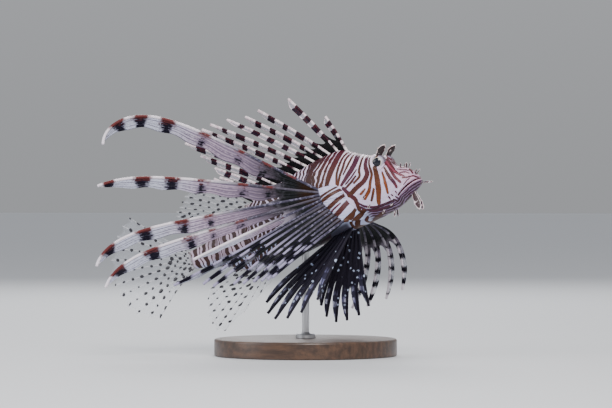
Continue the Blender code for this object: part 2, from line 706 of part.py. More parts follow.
def add_middle_fins(fish, body, finish):
    add_spiny_fin(fish, body[:2], finish)
    share = np.linspace(0, 1, SOFT_BACK_COUNT)
    add_soft_fin("dorsal_soft_fin", np.interp(share, (0, 1), SOFT_BACK_ALONG),
                 curve(SOFT_BACK_LENGTHS, share), curve(SOFT_BACK_RISES, share),
                 lambda along: curve(TOP, along) - ROOT_DEPTH, fish, body[1:], finish)
    share = np.linspace(0, 1, len(ANAL_LENGTHS))
    add_soft_fin("anal_fin", np.interp(share, (0, 1), ANAL_ALONG), ANAL_LENGTHS,
                 curve(ANAL_RISES, share), lambda along: curve(BOTTOM, along) + ROOT_DEPTH,
                 fish, body[1:], finish)
    add_tail_fin(fish, body[2:], finish)


def add_pelvic(name, side, table, fish, body, finish):
    rays = []
    count = len(table[0])
    places = np.linspace(*PELVIC_ALONG, count)
    asides = side * np.linspace(*PELVIC_ACROSS, count)
    for along, aside, rise, out, length in zip(places, asides, *table):
        root = placed(np.array([along, aside, PELVIC_HEIGHT]))
        rays.append(bent_ray(root, length + SUNK, rise, out, side, 9, droop=-7, late=2.0, splay=SPLAY))
    sink(rays)

    def vane(share, number):
        return curve(PELVIC_VANE, share)

    made = fin("pelvic_fin_" + name, rays, lambda share: 0.6 - 0.2 * share, vane,
               [6] * (count - 1) + [0], finish, fish, rod=1.4, fit=0.45)
    return cut(made, body)


def add_stand(fish, trunk_grown, wood, steel):
    bpy.ops.mesh.primitive_cylinder_add(vertices=48, radius=BASE_RADIUS * MM, depth=BASE_THICK * MM,
                                        location=(0, 0, BASE_THICK / 2 * MM))
    base = bpy.context.object
    base.name = "stand_base"
    base.data.materials.append(wood)
    edge = base.modifiers.new("edge", "BEVEL")
    edge.width = BASE_EDGE * MM
    edge.segments = 2
    edge.limit_method = "ANGLE"
    floor = BASE_THICK + GAP
    top = placed(np.array([POST_ALONG, 0.0, float(curve(BOTTOM, POST_ALONG))]))[2] + 3
    outline = [(0, top), (POST_RADIUS, top), (POST_RADIUS, floor + FOOT_THICK + 1.2),
               (POST_RADIUS + 1.2, floor + FOOT_THICK), (FOOT_RADIUS - 0.8, floor + FOOT_THICK),
               (FOOT_RADIUS, floor + FOOT_THICK - 0.8), (FOOT_RADIUS, floor), (0, floor)]
    mesh = bpy.data.meshes.new("stand_post")
    mesh.from_pydata([(x * MM, 0, z * MM) for x, z in outline],
                     [(i, i + 1) for i in range(len(outline) - 1)], [])
    mesh.materials.append(steel)
    post = bpy.data.objects.new("stand_post", mesh)
    turned = post.modifiers.new("turned", "SCREW")
    turned.steps = turned.render_steps = 20
    turned.use_merge_vertices = True
    turned.merge_threshold = MERGED
    fish.objects.link(post)
    cut(post, [trunk_grown])
    for group in list(base.users_collection):
        group.objects.unlink(base)
    fish.objects.link(base)


def main():
    for old in list(bpy.data.objects):
        bpy.data.objects.remove(old)
    fish, cutters = collection("red_lionfish"), collection("cutters")
    cutters.hide_render = True
    skin = material("striped_skin", (0.62, 0.42, 0.40), 0.45)
    plume = material("banded_fin", (0.55, 0.40, 0.42), 0.5)
    clear = material("spotted_fin", (0.50, 0.50, 0.55), 0.4)
    black = material("dark_fin", (0.05, 0.04, 0.06), 0.5)
    eye = material("eye", (0.03, 0.03, 0.04), 0.1)
    wood = material("dark_wood", (0.06, 0.04, 0.03), 0.4)
    steel = material("brushed_steel", (0.6, 0.6, 0.62), 0.3, 1.0)

    def grown(name, starts, ends, rings, crowd=1.0):
        made = body_length(name, starts, ends, None, cutters, rings, grow=GAP, crowd=crowd)
        return as_helper(made)

    head_grown = grown("head_grown", at(HEAD_STARTS), lambda turn: gill_edge(turn) + GILL_LIP,
                       HEAD_RINGS, HEAD_CROWD)
    trunk_grown = grown("trunk_grown", lambda turn: gill_edge(turn) - 2, at(TAIL_STARTS + 0.2),
                        TRUNK_RINGS)
    tail_grown = grown("tail_grown", at(TAIL_STARTS + 0.1), at(STANDARD_LENGTH + GAP), TAIL_RINGS)
    body = [head_grown, trunk_grown, tail_grown]
    add_head(fish, cutters, skin, eye)
    add_tentacles(fish, cutters, head_grown, skin)
    body_length("trunk", lambda turn: gill_edge(turn) + GAP, at(TAIL_STARTS), skin, fish, TRUNK_RINGS)
    body_length("tail_stalk", at(TAIL_STARTS + GAP), at(STANDARD_LENGTH), skin, fish, TAIL_RINGS)
    add_pectoral("right", TO_RIGHT, right_pectoral_rays, fish, cutters, body[:2], skin, plume)
    add_pectoral("left", TO_LEFT, left_pectoral_rays, fish, cutters, body[:2], skin, plume)
    add_middle_fins(fish, body, clear)
    add_pelvic("right", TO_RIGHT, PELVIC_RIGHT, fish, body[:2], black)
    add_pelvic("left", TO_LEFT, PELVIC_LEFT, fish, body[:2], black)
    add_stand(fish, trunk_grown, wood, steel)


main()
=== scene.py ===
# %% [markdown]
# A red lionfish, the way a museum shows one: life size, still, and held over a plain stand. The solids
# that carry the shape are loaded first and never moved. Each cell below makes one part of the looks: it
# says what the part is on the real fish, how it could be made, and why one way was chosen.

# %% The shared frame
import json
import math

import bmesh
import bpy
import numpy as np
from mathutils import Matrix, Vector

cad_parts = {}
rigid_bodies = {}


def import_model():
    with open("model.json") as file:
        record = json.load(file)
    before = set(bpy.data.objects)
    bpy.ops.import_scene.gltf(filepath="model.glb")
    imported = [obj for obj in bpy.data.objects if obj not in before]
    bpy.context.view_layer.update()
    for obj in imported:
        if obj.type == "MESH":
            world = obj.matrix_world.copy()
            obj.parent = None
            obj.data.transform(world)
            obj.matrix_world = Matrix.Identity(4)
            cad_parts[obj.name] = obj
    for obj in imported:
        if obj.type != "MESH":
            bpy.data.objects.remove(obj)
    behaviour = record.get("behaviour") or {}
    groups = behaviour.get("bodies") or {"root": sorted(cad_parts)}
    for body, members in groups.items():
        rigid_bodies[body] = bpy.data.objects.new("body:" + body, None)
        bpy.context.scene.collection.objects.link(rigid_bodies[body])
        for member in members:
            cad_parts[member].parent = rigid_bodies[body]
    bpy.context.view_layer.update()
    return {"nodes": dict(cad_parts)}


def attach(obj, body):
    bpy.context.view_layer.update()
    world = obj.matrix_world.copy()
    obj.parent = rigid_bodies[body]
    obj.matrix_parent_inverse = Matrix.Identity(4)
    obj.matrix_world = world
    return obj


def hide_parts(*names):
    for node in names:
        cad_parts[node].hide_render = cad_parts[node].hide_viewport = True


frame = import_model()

# %% [markdown]
# The fish is easiest to describe in its own frame: how far back a point lies from the snout, how far to
# the left, and how high, all in millimetres. It swims nose up, so one small turn and a shift take such a
# point to the frame of the model. Nothing here is measured from a mesh: these are the driving sizes.

# %% The fish's own frame
MM = 0.001
LEFT, RIGHT = 1, -1
SIDES = ((RIGHT, "right"), (LEFT, "left"))
TINY = 1e-9
NOSE_UP = math.radians(18)
SNOUT = np.array([86.0, 0.0, 122.0])
FISH_LENGTH = 180.0


def placed(points):
    """Points (along, across, height) of the fish's frame, in millimetres of the model's frame."""
    along, across, height = np.moveaxis(np.asarray(points, float), -1, 0)
    back = along * math.cos(NOSE_UP) + height * math.sin(NOSE_UP)
    up = height * math.cos(NOSE_UP) - along * math.sin(NOSE_UP)
    return np.stack([SNOUT[0] - back, SNOUT[1] + across, SNOUT[2] + up], axis=-1)


def unplaced(points):
    """The way back: points of the model's frame in millimetres to (along, across, height)."""
    x, y, z = np.moveaxis(np.asarray(points, float) - SNOUT, -1, 0)
    along = -x * math.cos(NOSE_UP) - z * math.sin(NOSE_UP)
    height = -x * math.sin(NOSE_UP) + z * math.cos(NOSE_UP)
    return np.stack([along, y, height], axis=-1)


def curve(knots, x):
    """The smooth line through the knots at x, which never swings past a knot."""
    xs, ys = np.array(knots, float).T
    steps = np.diff(xs)
    slopes = np.diff(ys) / steps
    both = slopes[:-1] * slopes[1:]
    total = np.where(both > 0, slopes[:-1] + slopes[1:], 1.0)
    inner = np.where(both > 0, 2 * both / total, 0.0)
    tangents = np.concatenate([slopes[:1], inner, slopes[-1:]])
    x = np.clip(np.asarray(x, float), xs[0], xs[-1])
    i = np.clip(np.searchsorted(xs, x, side="right") - 1, 0, len(steps) - 1)
    t = (x - xs[i]) / steps[i]
    rise = (2 * t**3 - 3 * t**2 + 1) * ys[i] + (3 * t**2 - 2 * t**3) * ys[i + 1]
    swing = (t**3 - 2 * t**2 + t) * tangents[i] + (t**3 - t**2) * tangents[i + 1]
    return rise + swing * steps[i]


def bell(distance, spread):
    """1 at no distance, and about a third of that at one spread away."""
    return np.exp(-((distance / spread) ** 2))


def smooth(low, high, x):
    """0 below low, 1 above high, and an even slope between."""
    t = np.clip((x - low) / (high - low), 0, 1)
    return t * t * (3 - 2 * t)


def unit(vectors):
    """The same directions, each of length 1."""
    return vectors / np.maximum(np.linalg.norm(vectors, axis=-1, keepdims=True), TINY)


print("from snout to tail root:", FISH_LENGTH, "mm, nose up by", round(math.degrees(NOSE_UP)), "degrees")

# %% [markdown]
# A loft carries the body: at each place along the fish the section is a rounded oval, and smooth curves
# give its top, bottom, half width and roundness. The same curves shaped the solids. A sculpted mesh
# would also do, but it would drift from the solids, and this one can't.

# %% The body's curves
TOP = [(0, 1.0), (2, 6.0), (5, 10.2), (10, 13.8), (14, 15.8), (17, 20.6), (24, 26.0), (33, 29.9),
       (40, 33.6), (47, 37.8), (54, 39.2), (67, 38.4), (88, 34.2), (100, 31.7), (125, 25.0),
       (141, 17.8), (155, 12.0), (168, 8.4), (180, 6.6)]
BOTTOM = [(0, -1.0), (2, -2.7), (5, -4.6), (10, -7.6), (17, -10.9), (24, -13.2), (33, -14.5),
          (47, -16.0), (67, -17.8), (88, -20.0), (100, -21.4), (120, -22.2), (138, -20.4),
          (155, -13.0), (168, -9.0), (180, -6.6)]
HALF_WIDTH = [(0, 1.8), (1.5, 4.2), (4, 6.4), (10, 9.6), (17, 12.4), (28, 14.8), (40, 16.6),
              (52, 17.2), (64, 16.8), (80, 15.6), (100, 13.4), (120, 10.6), (140, 7.4),
              (160, 4.6), (180, 3.0)]
WIDEST_AT = [(0, 0.5), (20, 0.42), (45, 0.42), (80, 0.46), (140, 0.5), (180, 0.5)]
ROUND_ABOVE = [(0, 2.0), (14, 2.3), (20, 3.6), (27, 3.4), (38, 2.3), (52, 1.8), (180, 1.9)]
ROUND_BELOW = [(0, 2.0), (6, 1.8), (20, 1.8), (34, 2.1), (180, 2.1)]
body_curves = (TOP, BOTTOM, HALF_WIDTH, WIDEST_AT, ROUND_ABOVE, ROUND_BELOW)
print("the body:", len(body_curves), "curves with", sum(map(len, body_curves)), "knots")

# %% [markdown]
# The head of this fish is bone under thin skin: brows, lips, a knobbed ridge on the cheek, nostrils and
# a gill cover. A brush could sculpt them. Here each is a small rise or dip with a place and a width, and
# their sum is how far the skin stands out of the plain loft, so each can be moved by one number.

# %% The relief of the head
EYE_AT = (23.0, 21.0)
MOUTH_LINE = [(0, 2.2), (3, 1.8), (6, 0.8), (12.6, -2.6), (18, -6.4)]
MOUTH_END = 16.5
NOSTRILS = ((13.0, 11.0), (9.2, 9.6))
CHEEK_RIDGE = ((13.0, 6.5), (44.0, 4.0))
SNOUT_FOLDS = 4
GILL_EDGE = [(-1, 36), (-0.75, 42), (-0.3, 49), (0.1, 55), (0.45, 61), (0.8, 57), (1, 51)]
GILL_REACH = 10.0


def head_relief(along, across, height, turn):
    """How far the skin stands out of the plain loft: brows, lips, gill cover, ridges and pits."""
    side = np.clip(np.abs(across) / 3.0, 0, 1)
    # the brow, the rim of the eye and the hollow between the two eyes
    orbit = np.hypot(along - EYE_AT[0], height - EYE_AT[1])
    rise = 1.9 * bell(np.hypot(along - EYE_AT[0], height - EYE_AT[1] - 1.0), 5.2) * side
    rise += 0.75 * bell(orbit - 5.4, 0.8) * side
    rise -= 0.8 * bell(np.hypot(along - EYE_AT[0], across), 5.0) * (height > EYE_AT[1])
    # two lips, the slit between them and the fold above the upper one
    off_mouth = height - curve(MOUTH_LINE, along)
    mouth = smooth(MOUTH_END + 1.5, MOUTH_END - 2, along) * smooth(0, 1.5, along)
    rise += mouth * 0.9 * (bell(off_mouth - 1.6, 1.2) + bell(off_mouth + 1.8, 1.4))
    rise -= mouth * 1.5 * bell(off_mouth, 0.42)
    fold = curve(MOUTH_LINE, along) + 4.6 - 0.12 * along
    rise -= 0.35 * bell(height - fold, 0.5) * smooth(3, 6, along) * smooth(17, 13, along)
    # the bony ridge of the cheek, with its small knobs
    start, end = np.array(CHEEK_RIDGE)
    share = np.clip((along - start[0]) / (end[0] - start[0]), 0, 1)
    off_ridge = height - start[1] - share * (end[1] - start[1])
    fade = np.clip((along - start[0]) / 4, 0, 1) * np.clip((end[0] - along) / 4, 0, 1)
    rise += fade * (0.8 * bell(off_ridge, 1.8) + 0.35 * bell(off_ridge, 0.7) * np.cos(along * 1.7))
    # the lower rim of the cheek and the groove under it
    rim = height + 7.4 + 0.05 * (along - 30) - 0.006 * (along - 30) ** 2
    rise += 0.5 * bell(rim, 1.0) * smooth(18, 22, along) * smooth(47, 42, along)
    rise -= 0.45 * bell(rim + 1.5, 0.6) * smooth(18, 22, along) * smooth(48, 44, along)
    # raised nostrils, then the fine folds of the snout
    for nostril in NOSTRILS:
        spot = np.hypot(along - nostril[0], height - nostril[1])
        rise += side * (0.45 * bell(spot - 1.1, 0.45) - 0.8 * bell(spot, 0.6))
    for wave in range(SNOUT_FOLDS):
        line = 11.6 + 1.5 * wave - 0.32 * (along - 8) - 0.035 * (along - 8) ** 2
        rise += 0.13 * bell(height - line, 0.45) * smooth(2, 4, along) * smooth(15, 12, along)
    # the gill cover, which ends in a step
    edge = curve(GILL_EDGE, np.sin(turn))
    cover = np.clip(1 - (edge - along) / GILL_REACH, 0, 1) * smooth(edge + 1.1, edge + 0.3, along)
    rise += 1.1 * cover**2 * np.clip(1.2 - np.abs(np.sin(turn)), 0, 1)
    return rise


print("relief: brows, lips, cheeks, gill covers,", len(NOSTRILS), "nostrils a side,", SNOUT_FOLDS, "folds")

# %% [markdown]
# A point of the skin is told by how far along the fish it lies and how far round. The section is a
# rounded oval, flatter or sharper as two more curves say, and the relief lifts it. Fins and flaps ask
# the same function where the surface is, so their roots always sit on it.

# %% Points of the skin
def body_points(along, turn):
    """Points of the skin: turn 0 is the left side, a quarter turn the top line."""
    top, bottom = curve(TOP, along), curve(BOTTOM, along)
    middle = bottom + curve(WIDEST_AT, along) * (top - bottom)
    sine, cosine = np.sin(turn), np.cos(turn)
    power = 2 / np.where(sine > 0, curve(ROUND_ABOVE, along), curve(ROUND_BELOW, along))
    reach = np.where(sine > 0, top - middle, middle - bottom)
    across = curve(HALF_WIDTH, along) * np.sign(cosine) * np.abs(cosine) ** power
    lift = reach * np.sign(sine) * np.abs(sine) ** power
    out = np.hypot(across, lift)
    scale = 1 + head_relief(along, across, middle + lift, turn) / np.maximum(out, 1.0)
    return np.stack([along, across * scale, middle + lift * scale], axis=-1)


def skin_at(along, height, side):
    """The skin's point at this place on one side, found by turning round the body."""
    turns = np.linspace(-math.pi / 2, math.pi / 2, 721)
    ring = body_points(np.full(turns.shape, float(along)), turns)
    point = ring[np.argmin(np.abs(ring[:, 2] - height))]
    return np.array([point[0], side * point[1], point[2]])


print("width of the head, 50 mm from the snout:", round(2 * skin_at(50, 0, LEFT)[1], 1), "mm")

# %% [markdown]
# A shader is a sum of small steps. Python can hold those sums if one small class stands for a socket and
# answers to +, -, * and the rest by adding a Math node. Everything else, such as noise or a colour mix,
# comes from one method that takes the node's type, its settings and its inputs.

# %% Shader sums in Python
class Wire:
    """One output socket of a material's tree, which takes part in sums as a number would."""

    def __init__(self, tree, socket):
        self.tree = tree
        self.socket = socket

    def node(self, kind, settings=None, inputs=None, output=0):
        """Any node: its settings are set first, then its inputs as values or as other wires."""
        made = self.tree.nodes.new(kind)
        for name, value in (settings or {}).items():
            if name == "stops":
                stops = made.color_ramp.elements
                stops[0].color, stops[-1].color = (*value[0], 1.0), (*value[-1], 1.0)
                for number, colour in enumerate(value[1:-1], 1):
                    stops.new(number / (len(value) - 1)).color = (*colour, 1.0)
            else:
                setattr(made, name, value)
        for name, value in (inputs or {}).items():
            if isinstance(value, Wire):
                self.tree.links.new(value.socket, made.inputs[name])
            else:
                made.inputs[name].default_value = value
        return Wire(self.tree, made.outputs[output])

    def maths(self, operation, *values):
        return self.node("ShaderNodeMath", {"operation": operation}, dict(enumerate(values)))

    def __add__(self, other):
        return self.maths("ADD", self, other)

    def __sub__(self, other):
        return self.maths("SUBTRACT", self, other)

    def __mul__(self, other):
        return self.maths("MULTIPLY", self, other)

    def __truediv__(self, other):
        return self.maths("DIVIDE", self, other)

    def __rsub__(self, other):
        return self.maths("SUBTRACT", other, self)

    __radd__ = __add__
    __rmul__ = __mul__

    def __abs__(self):
        return self.maths("ABSOLUTE", self)

    def power(self, exponent):
        return self.maths("POWER", self, exponent)

    def sine(self):
        return self.maths("SINE", self)

    def wrapped(self):
        """How far this is from the nearest whole number, from -0.5 to 0.5."""
        return self.maths("FRACT", self + 0.5) - 0.5

    def step(self, low, high):
        """0 below low and 1 above high, with a smooth slope; low may be the larger one."""
        ranges = {"From Min": low, "From Max": high, "Value": self}
        return self.node("ShaderNodeMapRange", {"interpolation_type": "SMOOTHSTEP"}, ranges)

    def either(self, other):
        return self.maths("MAXIMUM", self, other)

    def ramp(self, colours):
        """A colour from an even row of them, by this value from 0 to 1."""
        return self.node("ShaderNodeValToRGB", {"stops": colours}, {0: self})

    def colour(self, without, with_all):
        """A colour between two, by this value."""
        mix = {0: self, 6: shade(without), 7: shade(with_all)}
        return self.node("ShaderNodeMix", {"data_type": "RGBA"}, mix, 2)


def shade(colour):
    return colour if isinstance(colour, Wire) else (*colour, 1.0)


def new_material(name, roughness=0.5, **sockets):
    """A material, its shader node and a wire to build on. Even values sit on the shader's sockets."""
    made = bpy.data.materials.new(name)
    made.use_nodes = True
    shader = made.node_tree.nodes["Principled BSDF"]
    shader.inputs["Roughness"].default_value = roughness
    for socket, value in sockets.items():
        shader.inputs[socket.replace("_", " ")].default_value = value
    return made, shader, Wire(made.node_tree, None)


def feed(wire, shader, **sockets):
    for socket, value in sockets.items():
        wire.tree.links.new(value.socket, shader.inputs[socket.replace("_", " ")])


def coated(colour, *coats):
    """A colour under coats: each says how much of it shows over those before it, and its own colour."""
    for cover, coat in coats:
        colour = cover.colour(colour, coat)
    return colour


def stored(wire, names):
    """The numbers of these names, stored on the points of the piece."""
    found = [wire.node("ShaderNodeAttribute", {"attribute_name": name}, output=2) for name in names.split()]
    return found if len(found) > 1 else found[0]


def place_on(wire, scale=1.0):
    """Object coordinates in millimetres, times a scale."""
    spot = wire.node("ShaderNodeTexCoord", output=3)
    return wire.node("ShaderNodeVectorMath", {"operation": "SCALE"}, {0: spot, "Scale": 1000 * scale})


def noise(wire, vector, scale, detail=2.0, rough=0.5):
    inputs = {"Vector": vector, "Scale": scale, "Detail": detail, "Roughness": rough}
    return wire.node("ShaderNodeTexNoise", {}, inputs)


def bumped(wire, shader, height, distance, strength=1.0):
    bump = {"Height": height, "Distance": distance * MM, "Strength": strength}
    feed(wire, shader, Normal=wire.node("ShaderNodeBump", {}, bump))


# %% [markdown]
# Meshes are put together from grids of points. A closed grid is a skin, and a sheet with two faces and a
# rim is a membrane. Numbers that the paint needs later, such as how far along a ray a point lies, are
# stored on the points, because a pattern that follows a bent fin can't be told from its place alone.

# %% Mesh helpers
def add_numbers(mesh, numbers):
    for name, values in numbers.items():
        layer = mesh.attributes.new(name, "FLOAT", "POINT")
        layer.data.foreach_set("value", np.asarray(values, np.float32).ravel())


def in_scene(name, data):
    made = bpy.data.objects.new(name, data)
    bpy.context.scene.collection.objects.link(made)
    return made


def new_piece(name, points, faces, finish, numbers=None):
    """A piece at the origin, from points in millimetres of the model's frame."""
    mesh = bpy.data.meshes.new(name)
    mesh.from_pydata((np.asarray(points) * MM).tolist(), [], faces)
    add_numbers(mesh, numbers or {})
    mesh.shade_smooth()
    mesh.materials.append(finish)
    return in_scene(name, mesh)


def faced_outwards(made):
    work = bmesh.new()
    work.from_mesh(made.data)
    bmesh.ops.recalc_face_normals(work, faces=work.faces)
    work.to_mesh(made.data)
    work.free()
    return made


def joined(name, pieces, finish):
    """One piece from several, with the numbers of each kept."""
    for made in bpy.context.selected_objects:
        made.select_set(False)
    for piece in pieces:
        piece.select_set(True)
    bpy.context.view_layer.objects.active = pieces[0]
    bpy.ops.object.join()
    made = bpy.context.view_layer.objects.active
    made.name = name
    made.data.materials.clear()
    made.data.materials.append(finish)
    return made


def grid_faces(rows, columns, wrap=False):
    """Quads of a grid of rows by columns, row by row, closed round the columns if wrapped."""
    faces = []
    for row in range(rows - 1):
        for column in range(columns if wrap else columns - 1):
            a, b = row * columns + column, row * columns + (column + 1) % columns
            faces.append((a, b, b + columns, a + columns))
    return faces


def closed_faces(rows, columns):
    """Faces of a wrapped grid whose ends are closed by fans round the two points that follow it."""
    faces = grid_faces(rows, columns, wrap=True)
    first, last = rows * columns, (rows - 1) * columns
    for here in range(columns):
        after = (here + 1) % columns
        faces += [(first, after, here), (first + 1, last + here, last + after)]
    return faces


# %% [markdown]
# The skin of a fin is far thinner than a millimetre, but a mesh with no thickness has no inside. So each
# membrane is a closed sheet: two faces, a fraction of a millimetre apart, and a rim. A Solidify modifier
# could add the second face. These are made by hand, because dozens of sheets with stored numbers go
# into one piece.

# %% Closed sheets
def sheet_normals(grid):
    return unit(np.cross(np.gradient(grid, axis=0), np.gradient(grid, axis=1)))


def sheet_parts(grid, thick):
    """Points and faces of a closed sheet with two faces and a rim over a grid (rows, columns, 3)."""
    rows, columns = grid.shape[:2]
    half = sheet_normals(grid) * np.asarray(thick)[..., None] / 2
    points = np.concatenate([(grid + half).reshape(-1, 3), (grid - half).reshape(-1, 3)])
    count = rows * columns
    front = grid_faces(rows, columns)
    faces = front + [tuple(i + count for i in face[::-1]) for face in front]
    top = list(range(columns))
    end = [columns - 1 + row * columns for row in range(rows)]
    bottom = [count - 1 - i for i in range(columns)]
    start = [(rows - 1 - row) * columns for row in range(rows)]
    rim = top[:-1] + end[:-1] + bottom[:-1] + start[:-1]
    for here, after in zip(rim, rim[1:] + rim[:1]):
        faces.append((after, here, here + count, after + count))
    return points, faces


class Sheets:
    """Gathers closed sheets, with the numbers of their points, into one piece."""

    def __init__(self):
        self.points, self.faces, self.numbers, self.count = [], [], {}, 0

    def add(self, grid, thick, **numbers):
        points, faces = sheet_parts(grid, np.broadcast_to(thick, grid.shape[:2]))
        self.points.append(points)
        self.faces += [tuple(i + self.count for i in face) for face in faces]
        self.count += len(points)
        for name, values in numbers.items():
            flat = np.broadcast_to(values, grid.shape[:2]).ravel()
            self.numbers.setdefault(name, []).append(np.concatenate([flat, flat]))

    def piece(self, name, finish):
        numbers = {key: np.concatenate(parts) for key, parts in self.numbers.items()}
        made = new_piece(name, np.concatenate(self.points), self.faces, finish, numbers)
        return faced_outwards(made)


# %% [markdown]
# A finished piece is handed to the shared frame. It rides on the root body, and the solids that it
# stands for are hidden, so that they aren't shown twice.

# %% Handing over a piece
def finished(made, slot, *nodes):
    """Hands a piece to the frame: the body it rides on and the solids that it replaces; slot is not used."""
    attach(made, "root")
    if nodes:
        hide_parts(*nodes)
    triangles = sum(len(face.vertices) - 2 for face in made.data.polygons)
    print(f"{made.name}: {triangles} triangles")
    return made


# %% [markdown]
# The bars are what this fish is known by. They run down the flank and lean back, gather round the
# eye like spokes, and turn into fine lines on the snout. One number, the phase, says which bar a
# point belongs to: it is 1 on the bar below the eye, 2 on the one behind it, and grows towards the tail.
# A few points on the middle of each bar fix it, and a thin plate spline bends it smoothly between them,
# so the paint can draw bars of any width without a picture.

# %% The phase of the bars
BARS = {
    -1.0: [(10.5, 14), (6, 11), (3, 6.5)],
    -0.5: [(11.7, 12.8), (7, 9.6), (4, 4.2)],
    0.0: [(17.5, 21.6), (15.7, 15), (12.3, 8.8), (9, 5.5)],
    0.45: [(19.9, 14.1), (17.9, 7.8), (15.9, 3), (15.5, -1)],
    1.0: [(25, 15.5), (26, 7), (30, -5)],
    1.6: [(29, 13.6), (32, 5.7), (38, 0)],
    2.0: [(30.5, 26), (31, 21), (32, 16.6), (36, 11), (41, 8.5), (46, 5)],
    3.0: [(35, 31), (37.5, 26.5), (41.7, 21.5), (45.5, 17.5), (52, 12)],
    4.0: [(46.7, 38), (51, 33.3), (54, 29.6), (58, 23.6), (62, 17)],
    5.0: [(67, 37), (71.5, 33), (75, 26), (78, 14), (80, 0)],
    6.0: [(84, 34), (88, 22), (91, 5), (92, -12)],
    7.0: [(101.5, 31), (103.5, 22), (105, 6), (106, -14)],
    8.0: [(121.5, 25), (122.5, 12), (123, -5), (123, -20)],
    9.0: [(134, 20), (134.8, 5), (135, -18)],
    10.0: [(142, 17), (142, -16)],
    11.0: [(150, 13), (150, -14)],
    12.0: [(160, 10), (160, -10)],
    13.0: [(169, 8), (169, -8)],
    14.0: [(176.5, 6), (176.5, -6)],
}
FLANK_STARTS, REAR_STARTS, TAIL_STARTS = 4.17, 5.15, 8.3
FLANK_EDGE = [(-25, 57.5), (0, 57), (10, 52), (40, 40)]
JAW_BORDER = [(0, 1.2), (6, -0.4), (12.6, -3.6), (20, -7.4), (31, -8.6), (40, -7.4), (47, -10)]


def plate(distance):
    """The bending of a thin plate at this distance from a point that pushes it."""
    return np.where(distance > 0, distance**2 * np.log(np.maximum(distance, TINY)), 0.0)


def fitted_plate(places, values, ease=0.5):
    """The weights of the thin plate spline through values at places."""
    count = len(places)
    gaps = np.linalg.norm(places[:, None] - places[None], axis=2)
    tilt = np.column_stack([np.ones(count), places])
    whole = np.block([[plate(gaps) + ease * np.eye(count), tilt], [tilt.T, np.zeros((3, 3))]])
    return np.linalg.solve(whole, np.concatenate([values, np.zeros(3)]))


bar_places = np.array([point for points in BARS.values() for point in points], float)
bar_values = np.array([bar for bar, points in BARS.items() for _ in points], float)
bar_weights = fitted_plate(bar_places, bar_values)


def bar_phase(along, height):
    """The phase of the bars at places of the flank: a plane bent by every fixed point."""
    flat = np.column_stack([np.ravel(along), np.ravel(height)])
    total = np.column_stack([np.ones(len(flat)), flat]) @ bar_weights[-3:]
    for place, weight in zip(bar_places, bar_weights[:-3]):
        total += weight * plate(np.linalg.norm(flat - place, axis=1))
    return total.reshape(np.shape(along))


def swayed(points):
    """Places (along, height) on the flank, moved a little on the left, where the marks differ."""
    along, across, height = np.moveaxis(unplaced(points), -1, 0)
    left = smooth(1, 7, across)
    return np.stack([along + left * 1.1 * np.sin(height * 0.31 + along * 0.17),
                     height + left * 0.9 * np.sin(along * 0.23)], -1)


def phase_numbers(points):
    """The phase of the bars at these points, how many millimetres one phase takes, and the jaw."""
    along, height = np.moveaxis(swayed(points), -1, 0)
    wave = 0.05 * np.sin(height * 0.55 + along * 0.21) + 0.03 * np.sin(height * 1.3 - along * 0.4)
    phase = bar_phase(along, height) + wave * smooth(60, 75, along)
    ahead = bar_phase(along + 0.5, height) - bar_phase(along - 0.5, height)
    above = bar_phase(along, height + 0.5) - bar_phase(along, height - 0.5)
    pace = 1 / np.maximum(np.hypot(ahead, above), 0.03)
    below = (curve(JAW_BORDER, along) - height) * smooth(62, 50, along)
    flank = np.minimum((phase - FLANK_STARTS) * pace, along - curve(FLANK_EDGE, height))
    belly = smooth(7, 4, height - curve(BOTTOM, along)) * smooth(55, 59, along) * smooth(126, 112, along)
    return {"phase": phase, "pace": pace, "jaw": smooth(0.0, 0.5, below) * smooth(44, 38, along),
            "below": below, "flank": flank, "belly": belly,
            # cool: the throat and the belly behind it, where the paint lays a cool painted shade
            "cool": smooth(-3, -8, height) * smooth(37, 42, along)}


print("bars:", len(BARS), "points that fix them:", len(bar_places))

# %% [markdown]
# On the head one number is not enough: there the lines fork, wander and stop. So each clear line is
# written down as a stroke, as a painter would lay it: the ink at its two ends, its half width at the
# start, the middle and the end, and the few places that it passes. What is stored on the skin is the
# distance to the nearest stroke's edge, so the paint can draw a crisp, slightly ragged edge at any size.

